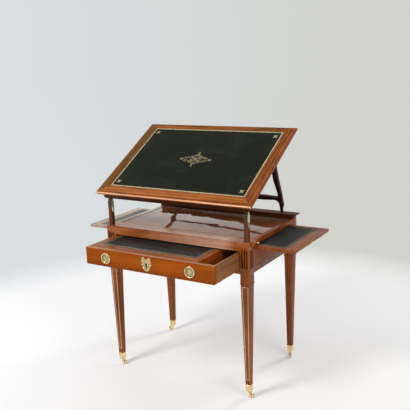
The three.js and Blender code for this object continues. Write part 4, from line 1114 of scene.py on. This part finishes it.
shoeShape = {
    # heights and sizes of the square section from the foot up
    "sections": [
        (0.0322, 0.0232), (0.0330, 0.0243), (0.0345, 0.0249), (0.0362, 0.0246), (0.0600, 0.0258),
        (0.0612, 0.0260), (0.0618, 0.0272), (0.0626, 0.0279), (0.0642, 0.0280), (0.0654, 0.0276),
        (0.0660, 0.0266),
    ],
    "corner": 0.0012, "mouth": (0.0660, 0.0254, 0.0008),
}


def addShoe(name):
    centre = middle("sabot_" + name)
    levels = [square(z, size, shoeShape["corner"]) for z, size in shoeShape["sections"]]
    work = roundedLoft(levels + [square(*shoeShape["mouth"])])
    piece = makePiece(camel("shoe", name), work, metal["castBrass"], matrix=moved(centre.x, centre.y))
    standFor(piece, "sabot_" + name)


# radius, then height as a share of the half width, from the axle's hole outwards
wheelFace = [(0.0019, 0.8), (0.0042, 0.8), (0.0046, 1), (0.0080, 0.62), (0.0105, 0.62), (0.0112, 1)]
wheelShape = {"half": 0.005, "edge": 0.0018, "steps": 48}


def addWheel(name):
    node = "caster_wheel_" + name
    low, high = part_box(node)
    axis = Vector(next(joint["axis"] for joint in frame["joints"] if joint["name"] == "wheel_spin_" + name))
    half, edge = wheelShape["half"], wheelShape["edge"]
    rim = (high.z - low.z) / 2 - edge
    profile = [(radius, -half * share) for radius, share in wheelFace]
    profile += arc(rim, edge - half, edge, edge, -pi / 2, 0, 4)
    profile += arc(rim, half - edge, edge, edge, 0, pi / 2, 4)
    profile += [(radius, half * share) for radius, share in reversed(wheelFace)]
    place = moved(*middle(node)) @ axis.to_track_quat("Z", "Y").to_matrix().to_4x4()
    work = turnedBody(profile, wheelShape["steps"], None, place, hollow=True)
    standFor(makePiece(camel("wheel", name), work, metal["castBrass"]), node)


corners = {"front_left": (-1, -1), "front_right": (1, -1), "rear_left": (-1, 1), "rear_right": (1, 1)}
for name, (sideX, sideY) in corners.items():
    addLeg(name, sideX, sideY)
    addShoe(name)
    addWheel(name)
    softened("caster_fork_" + name, metal["castBrass"], width=0.0003, limit=32)
for side in ("left", "right"):
    node, line = "stringing_front_" + side, camel("stringing", side)
    softened(node, metal["stringBrass"], width=0.00015, segments=1, name=line)
print("stage: legs and casters")


# slides
flat = Matrix.Identity(4)


def addLining(label, node, body, finish, rolls):
    # leather let into a flat board, with its gilt border
    low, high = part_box(node)
    leatherSkin(camel(label[0]), node, plan(node), low.z, high.z, flat, leather[finish])
    giltBorder(label[1], body, plan(node), high.z, flat, tooling[rolls])


# the left slide's leather gets a pale grey: painted glare
for side, seed, finish in (("left", 2.0, "faded"), ("right", 7.0, "deep")):
    board = softened("slide_" + side, wood("leg", "y", seed), width=0.0008)
    if side == "left":
        # the left slide's top and front faces get painted glare
        hazed = wood("hazed", "y", seed)
        repaint(board, hazed, lambda spot, normal: looksUp(normal) or normal.y < -turnedTo["top"])
    names = ("slide_leather_" + side, camel("slideGilt", side))
    addLining(names, "slide_leather_" + side, "slide_" + side, finish, "slide")

slideKnob = [
    # (radius, height) of the turned knob, from the slide outwards
    (0, 0), (0.0016, 0), (0.0016, 0.0083), (0.0040, 0.0083), (0.0042, 0.0088), (0.0040, 0.0094),
    (0.0026, 0.0100), (0.0018, 0.0110), (0.0018, 0.0118),
    *arc(0, 0.0143, 0.0041, 0.0026, -pi / 3, 5 * pi / 12, 9), (0, 0.0169),
]


def addSlideKnob(side, out):
    node = "slide_knob_" + side
    x0, x1 = plan(node)[:2]
    centre = middle(node)
    place = moved(x0 if out > 0 else x1, centre.y, centre.z) @ Matrix.Rotation(out * pi / 2, 4, "Y")
    piece = makePiece(camel("slideKnob", side), turnedBody(slideKnob, 36), metal["castBrass"], matrix=place)
    standFor(piece, node)


addSlideKnob("left", -1)
addSlideKnob("right", 1)
print("stage: slides")


# drawer
keyhole = {"radius": 0.0050, "slot": 0.0052, "length": 0.0158, "raise": 0.004, "depth": 0.0098, "reach": 0.02}
drawerFace = {"ease": 0.0005, "corner": 0.0006, "overrun": 0.002, "skin": 0.001}


def keyShape(grow=0.0):
    # outline of the keyhole, a round eye over a straight slot, grown on every side
    radius, half, length = keyhole["radius"] + grow, keyhole["slot"] / 2 + grow, keyhole["length"] + grow
    angle = asin(half / radius)
    eye = arc(0, 0, radius, radius, angle - pi / 2, 1.5 * pi - angle, 24)
    return eye + [(-half, -length), (half, -length)]


def addDrawerFront():
    low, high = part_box("drawer_front")
    g, tone, depth = drawerFace, wood("front", "x", 1.0, 0.9), high.y - low.y
    ease, corner, skinDepth = g["ease"], g["corner"], g["skin"]
    levels = [
        (level, low.x + inset, high.x - inset, low.z + inset, high.z - inset, corner)
        for level, inset in ((0, ease), (ease, 0), (depth - ease, 0), (depth, ease))
    ]
    work = roundedLoft(levels, 2)
    bmesh.ops.transform(work, matrix=facing(0, high.y, 0), verts=work.verts)
    rough = makePiece("drawerFrontRough", work, tone, edgeWidth=None)
    cutter = bmesh.new()
    centre, inner, outer = middle("drawer_front"), low.y + keyhole["depth"], low.y - g["overrun"]
    eyeZ = centre.z + keyhole["raise"]
    outline = [(centre.x + a, eyeZ + b) for a, b in keyShape()]
    skin(cutter, [[cutter.verts.new((x, y, z)) for x, z in outline] for y in (inner, outer)])
    piece = carved(rough, cutter, "drawerFront", tone)

    def inKeyhole(spot, normal):
        fromEye = hypot(spot.x - centre.x, spot.z - eyeZ)
        return fromEye < keyhole["reach"] and low.y + skinDepth < spot.y < inner + skinDepth

    def onArris(spot, normal):
        return normal.z > turnedTo["arris"] and spot.z > high.z - skinDepth

    repaint(piece, wood("edge", "x", 2.0), onArris)
    # the keyhole's walls get painted shade, near black
    repaint(piece, wood("gap", "z", 2.0), inKeyhole)
    standFor(piece, "drawer_front")


addDrawerFront()
for node, grain in (("side_left", "y"), ("side_right", "y"), ("bottom", "x"), ("back", "x")):
    softened("drawer_" + node, wood("inner", grain, 5.0))
softened("drawer_divider", wood("body", "y", 4.0))
softened("drawer_lock", metal["castBrass"], width=0.0006)
softened("writing_board", wood("leg", "x", 8.0), width=0.0008)
addLining(("board_leather", "boardGilt"), "board_leather", "writing_board", "glazed", "board")


# drawer brasses
ringHandle = {
    "plate": 0.0186, "ring": 0.0228, "wire": 0.0023, "recess": (0.0110, 0.0168),
    "wireShare": 0.97, "seat": 0.0003, "petalSeat": 0.0013,
    # (inset from the plate's edge, height) of its back, and (out from the recess, height) of the recess wall
    "back": [(0.0004, 0), (0, 0.0004), (0, 0.0010)], "floor": 0.0006,
    "wall": [(0.0004, 0.0006), (0, 0.0010), (-0.0002, 0.0018)], "dish": (0.0022, 0.0013),
    # half width, half height and rise of the round rims, and (radius, height) of the boss
    "rim": (0.0009, 0.0009, 0.0011), "lip": (0.0007, 0.0007, 0.0019), "lipInset": 0.0009,
    "boss": [(0.0046, 0.0012), (0.0042, 0.0024), (0.0032, 0.0034), (0.0016, 0.0040), (0, 0.0042)],
    # (half width, rise) of the ear over the ring's middle, and of its tip over the knuckle's
    "ear": [(0.0030, 0.0175), (0.0052, 0.0195), (0.0046, 0.0215)],
    "earTip": [(0.0030, 0.0030), (0.0012, 0.0041)], "earDepth": 0.0016, "earCorner": 0.0004,
    "knuckle": (0.0037, 0.0010, 12, 2.6),
    # what is painted: the border outside the recess, and the dark rim within it
    "border": 0.0006, "darkRim": (0.0001, 0.0012, 0.0014),
    "petals": {
        "Count": 12, "Radius": 0.0072, "Petal Length": 0.0046, "Petal Width": 0.0027, "Petal Height": 0.0020,
    },
}


def addHandle(side):
    g, pale = ringHandle, metal["paleGold"]
    ringPlace, high = middle("handle_ring_" + side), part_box("handle_ring_" + side)[1].z
    x, z = middle("handle_plate_" + side).x, ringPlace.z
    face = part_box("drawer_front")[0].y - g["seat"]
    r, (inner, outer) = g["plate"], g["recess"]
    rim, rimTall, rimRise = g["rim"]
    lip, lipTall, lipRise = g["lip"]
    profile = [(0, 0)] + [(r - inset, rise) for inset, rise in g["back"]]
    profile += arc(r - rim, rimRise, rim, rimTall, 0, pi, 6)
    profile += [(outer, g["floor"])] + [(inner + out, rise) for out, rise in g["wall"]]
    profile += arc(inner - g["lipInset"], lipRise, lip, lipTall, 0, pi, 6)
    profile += [(inner - g["dish"][0], g["dish"][1])] + g["boss"]
    work = turnedBody(profile, 64, None, facing(x, face, z))
    # a leaf-shaped ear above the plate and the knuckle that holds the ring
    eye = high - g["wire"]
    ear = [(half, z + rise) for half, rise in g["ear"]] + [(half, eye + rise) for half, rise in g["earTip"]]
    depth = (face - g["earDepth"], face, g["earCorner"])
    roundedLoft([(level, x - half, x + half, *depth) for half, level in ear], 2, work)
    knuckle = moved(x, ringPlace.y, eye) @ Matrix.Rotation(pi / 2, 4, "Y")
    turnedBody(ringProfile(*g["knuckle"]), 28, work, knuckle, hollow=True)
    plate = makePiece(camel("handlePlate", side), work, metal["khakiBrass"])

    def fromMiddle(spot):
        return hypot(spot.x - x, spot.z - z)

    def inRecessRim(spot, normal):
        within, past, deep = g["darkRim"]
        return inner - within < fromMiddle(spot) < inner + past and spot.y > face - deep

    repaint(plate, pale, lambda spot, normal: fromMiddle(spot) > outer + g["border"])
    repaint(plate, metal["darkBronze"], inRecessRim)
    standFor(plate, "handle_plate_" + side)
    place, name = facing(x, face - g["petalSeat"], z), camel("handlePetals", side)
    attach(grown(petalRing, name, g["petals"], pale, place), "drawer")
    wire = ringProfile(g["ring"], g["wire"] * g["wireShare"], 16)
    ring = turnedBody(wire, 72, None, facing(x, ringPlace.y, z), hollow=True)
    piece = makePiece(camel("handleRing", side), ring, pale, smoothAngle=60)
    standFor(piece, "handle_ring_" + side)


addHandle("left")
addHandle("right")

escutcheonShape = {
    # right half of the outline from the foot up, as shares of the half width and half height
    "half": [
        (0, -1), (0.20, -0.99), (0.38, -0.92), (0.50, -0.78), (0.58, -0.62), (0.72, -0.60), (0.76, -0.48),
        (0.68, -0.40), (0.74, -0.20), (0.94, -0.22), (1.0, -0.08), (0.90, 0.02), (0.78, 0.06), (0.80, 0.22),
        (0.99, 0.30), (0.98, 0.46), (0.82, 0.48), (0.86, 0.66), (0.80, 0.84), (0.62, 0.98), (0.44, 0.94),
        (0.32, 0.80), (0.20, 0.62), (0.10, 0.66),
    ],
    "crown": 0.70, "keyRim": 0.0014, "thickness": 0.0004, "bevelShare": 0.985, "fieldShare": 0.6,
    # how far in front of the plate's back its middle and its relief lie, and the relief's heights
    "plateSeat": 0.0009, "reliefSeat": 0.0017, "leafRelief": 0.0011, "stemRelief": 0.0012,
    # the keyhole's lip as share of the rim, width and height, and what counts as the keyhole's edge
    "lip": (1.3, 0.0012, 0.0005), "keyEdge": (0.0062, -0.019, 0.0065), "flatTurn": 0.9, "edgeTurn": 0.8,
    # centre and half sizes of each piercing in the same shares, and its lean
    "piercings": [
        (0.50, 0.60, 0.05, 0.09, 0.3), (0.70, -0.10, 0.10, 0.035, 0.2), (0.46, -0.50, 0.07, 0.035, -0.5),
        (0.60, 0.26, 0.10, 0.035, 0.3),
    ],
    # raised leaves of the right half in millimetres, then the stem over the keyhole
    "leaves": [
        ([(2, -32), (8, -28), (12, -20), (11, -14)], (1.4, 4.2, 1.8)),
        ([(9, -17), (14, -20), (16, -18), (18, -17)], (1.2, 3.4, 1.0)),
        ([(10, -12), (16, -10), (19, -6), (25, -4)], (1.6, 4.0, 1.2)),
        ([(8, 2), (14, 6), (18, 10), (24, 13)], (1.6, 4.0, 1.2)),
        ([(6, 8), (12, 14), (15, 20), (17, 30)], (1.6, 4.4, 1.2)),
        ([(2, 9), (6, 14), (8, 20), (7, 24)], (1.4, 3.4, 1.2)),
    ],
    "stem": ([(0, 8), (0, 13), (0, 18), (0, 23)], (1.4, 4.6, 1.2)),
}


def smoothLoop(points, times):
    # corner cutting, which rounds a closed outline
    near, far = 0.78, 0.22
    for cut in range(times):
        made = []
        for (x, y), (nx, ny) in zip(points, points[1:] + points[:1]):
            made += [(x * near + nx * far, y * near + ny * far), (x * far + nx * near, y * far + ny * near)]
        points = made
    return points


def escutcheonLoops(w, h):
    # the outline, the keyhole's rim and the piercings of both halves
    g = escutcheonShape
    right = [(a * w, b * h) for a, b in g["half"]]
    outline = right + [(0, g["crown"] * h)] + [(-a, b) for a, b in reversed(right[1:])]
    share = g["bevelShare"]
    loops = [[(a * share, b * share) for a, b in smoothLoop(outline, 2)], keyShape(g["keyRim"] / 2)]
    for side in (1, -1):
        for cx, cy, rx, ry, lean in g["piercings"]:
            ring = arc(0, 0, rx * w, ry * h, 0, 2 * pi, 14)[:-1]
            loops.append([
                (side * (cx * w + a * cos(lean) - b * sin(lean)), cy * h + a * sin(lean) + b * cos(lean))
                for a, b in ring
            ])
    return loops


def addEscutcheon():
    low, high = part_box("escutcheon")
    centre, g = middle("escutcheon"), escutcheonShape
    x, z, w, h = centre.x, centre.z, (high.x - low.x) / 2, (high.z - low.z) / 2
    curve = bpy.data.curves.new("escutcheonRough", "CURVE")
    curve.dimensions, curve.fill_mode = "2D", "BOTH"
    curve.extrude, curve.bevel_depth, curve.bevel_resolution = g["thickness"], g["thickness"], 2
    for points in escutcheonLoops(w, h):
        spline = curve.splines.new("POLY")
        spline.points.add(len(points) - 1)
        for point, (a, b) in zip(spline.points, points):
            point.co = (a, b, 0, 1)
        spline.use_cyclic_u = True
    rough, place = linkObject("escutcheonRough", curve), facing(x, high.y - g["plateSeat"], z)
    piece = settle(rough, "escutcheonPlate", metal["paleGold"], 35, None, place)
    aside, foot, head = g["keyEdge"]

    def inKeyhole(spot, normal):
        return abs(normal.y) < g["edgeTurn"] and abs(spot.x - x) < aside and foot < spot.z - z < head

    def inField(spot, normal):
        return normal.y < -g["flatTurn"] and abs(spot.x - x) < g["fieldShare"] * w

    # the flat middle facing front turns khaki while the bevels stay pale gold: a painted highlight on the edges
    repaint(piece, metal["khakiBrass"], inField)
    # the keyhole's edge gets painted shade, near black
    repaint(piece, wood("gap", "z", 2.0), inKeyhole)
    standFor(piece, "escutcheon")
    relief, place, scale = bmesh.new(), facing(x, high.y - g["reliefSeat"], z), (0.001, 0.001, 0.001)
    for side in (1, -1):
        for points, widths in g["leaves"]:
            addStroke(relief, bezier(points, 10), widths, scale, (side, 1), 0, g["leafRelief"], place)
    points, widths = g["stem"]
    addStroke(relief, bezier(points, 10), widths, scale, (1, 1), 0, g["stemRelief"], place)
    rimShare, lipWidth, lipHeight = g["lip"]
    lip = keyShape(rimShare * g["keyRim"])
    addRibbon(relief, lip + lip[:1], [lipWidth] * (len(lip) + 1), 0, lipHeight, place)
    attach(makePiece("escutcheonLeaves", relief, metal["paleGold"], edgeWidth=None), "drawer")


addEscutcheon()
print("stage: drawer")


# floor, backdrop and light
studio = {
    # the floor's colours paint a light falloff: darker near and towards the right, paler far off
    "floorNear": (0.86, 0.86, 0.855), "floorFar": (0.985, 0.99, 1.0), "rise": (-0.6, 0.5),
    "floorSide": (0.95, 0.945, 0.935), "floorRadius": 40, "edge": (1.72, 2.3),
    "backdropLeft": (0.70, 0.73, 0.75), "backdropRight": (0.64, 0.645, 0.61), "turn": (-0.3, 0.3),
    "white": (1, 1, 1), "ambient": 0.62,
    "mirrorTint": (1, 0.985, 0.96), "mirrorBright": 0.92, "mirrorDim": 0.14,
    "across": (0.86, 0.51), "away": (-0.51, 0.86),
}


def viewAxes(tree, vector):
    # left to right, and away, as the table is looked at
    split = splitAxes(tree, vector)
    return [weighted(tree, *zip((split["X"], split["Y"]), studio[way])) for way in ("across", "away")]


def backdropColor(tree, side):
    share = spread(tree, side, *studio["turn"])
    return mixColor(tree, share, opaque(studio["backdropLeft"]), opaque(studio["backdropRight"]))


def addFloor():
    work = bmesh.new()
    bmesh.ops.create_circle(work, cap_ends=True, radius=studio["floorRadius"], segments=96)
    mesh = bpy.data.meshes.new("studioFloor")
    work.to_mesh(mesh)
    work.free()
    material, tree = startMaterial("studioFloorPaint")
    place = addNode(tree, "ShaderNodeTexCoord")["Object"]
    across, away = viewAxes(tree, place)
    # painted light falloff: darker near, paler away, and darker towards the right
    rise = spread(tree, away, *studio["rise"])
    near = mixColor(tree, rise, opaque(studio["floorNear"]), opaque(studio["floorFar"]))
    paint = mixColor(tree, spread(tree, across, 0.0, 1.0), near, opaque(studio["floorSide"]), "MULTIPLY")
    distance = addNode(tree, "ShaderNodeVectorMath", {"Vector": place}, operation="LENGTH")["Value"]
    # far out the colour turns with the direction, as the backdrop above the horizon does
    far = backdropColor(tree, calc(tree, "DIVIDE", across, distance))
    lit = addNode(tree, "ShaderNodeBsdfDiffuse", {"Color": paint})["BSDF"]
    glow = addNode(tree, "ShaderNodeEmission", {"Color": far})["Emission"]
    surface = mixShader(tree, spread(tree, distance, *studio["edge"]), lit, glow)
    addNode(tree, "ShaderNodeOutputMaterial", {"Surface": surface})
    mesh.materials.append(material)
    linkObject("studioFloor", mesh)


def addWorld():
    world = bpy.data.worlds.new("studioWorld")
    bpy.context.scene.world = world
    tree = clearedTree(world)
    across, away = viewAxes(tree, addNode(tree, "ShaderNodeTexCoord")["Generated"])
    # polished faces see a pale backdrop behind the table, paler on the left, and a dimmer room elsewhere
    share = calc(tree, "MULTIPLY", spread(tree, away, 0.1, 0.8), spread(tree, across, 0.25, -0.1, 0.35, 1.0))
    bright = spread(tree, share, 0.0, 1.0, studio["mirrorDim"], studio["mirrorBright"])

    def background(color, strength):
        return addNode(tree, "ShaderNodeBackground", {"Color": color, "Strength": strength})["Background"]

    soft = background(opaque(studio["white"]), studio["ambient"])
    mirrored = background(opaque(studio["mirrorTint"]), bright)
    shown = background(backdropColor(tree, across), 1.0)
    path = addNode(tree, "ShaderNodeLightPath")
    mirrorRay = calc(tree, "MAXIMUM", path["Is Glossy Ray"], path["Is Transmission Ray"])
    surface = mixShader(tree, path["Is Camera Ray"], mixShader(tree, mirrorRay, soft, mirrored), shown)
    addNode(tree, "ShaderNodeOutputWorld", {"Surface": surface})


softboxes = {
    "softboxFront": {"place": (-1.25, -2.95, 3.4), "size": 1.1, "power": 86.0},
    "softboxBack": {"place": (1.25, 2.95, 3.4), "size": 0.9, "power": 34.0},
    "softboxRight": {"place": (2.95, -1.2, 3.2), "size": 1.6, "power": 36.0},
}
lampAim = Vector((0, 0, 0.6))


def addLamps():
    for name, lamp in softboxes.items():
        data = bpy.data.lights.new(name, "AREA")
        data.shape, data.size, data.energy = "SQUARE", lamp["size"], lamp["power"]
        thing = linkObject(name, data)
        thing.location = lamp["place"]
        thing.rotation_mode = "QUATERNION"
        thing.rotation_quaternion = (lampAim - Vector(lamp["place"])).to_track_quat("-Z", "Y")


addFloor()
addWorld()
addLamps()
bpy.context.scene.view_settings.view_transform = "Standard"
print("stage: studio")
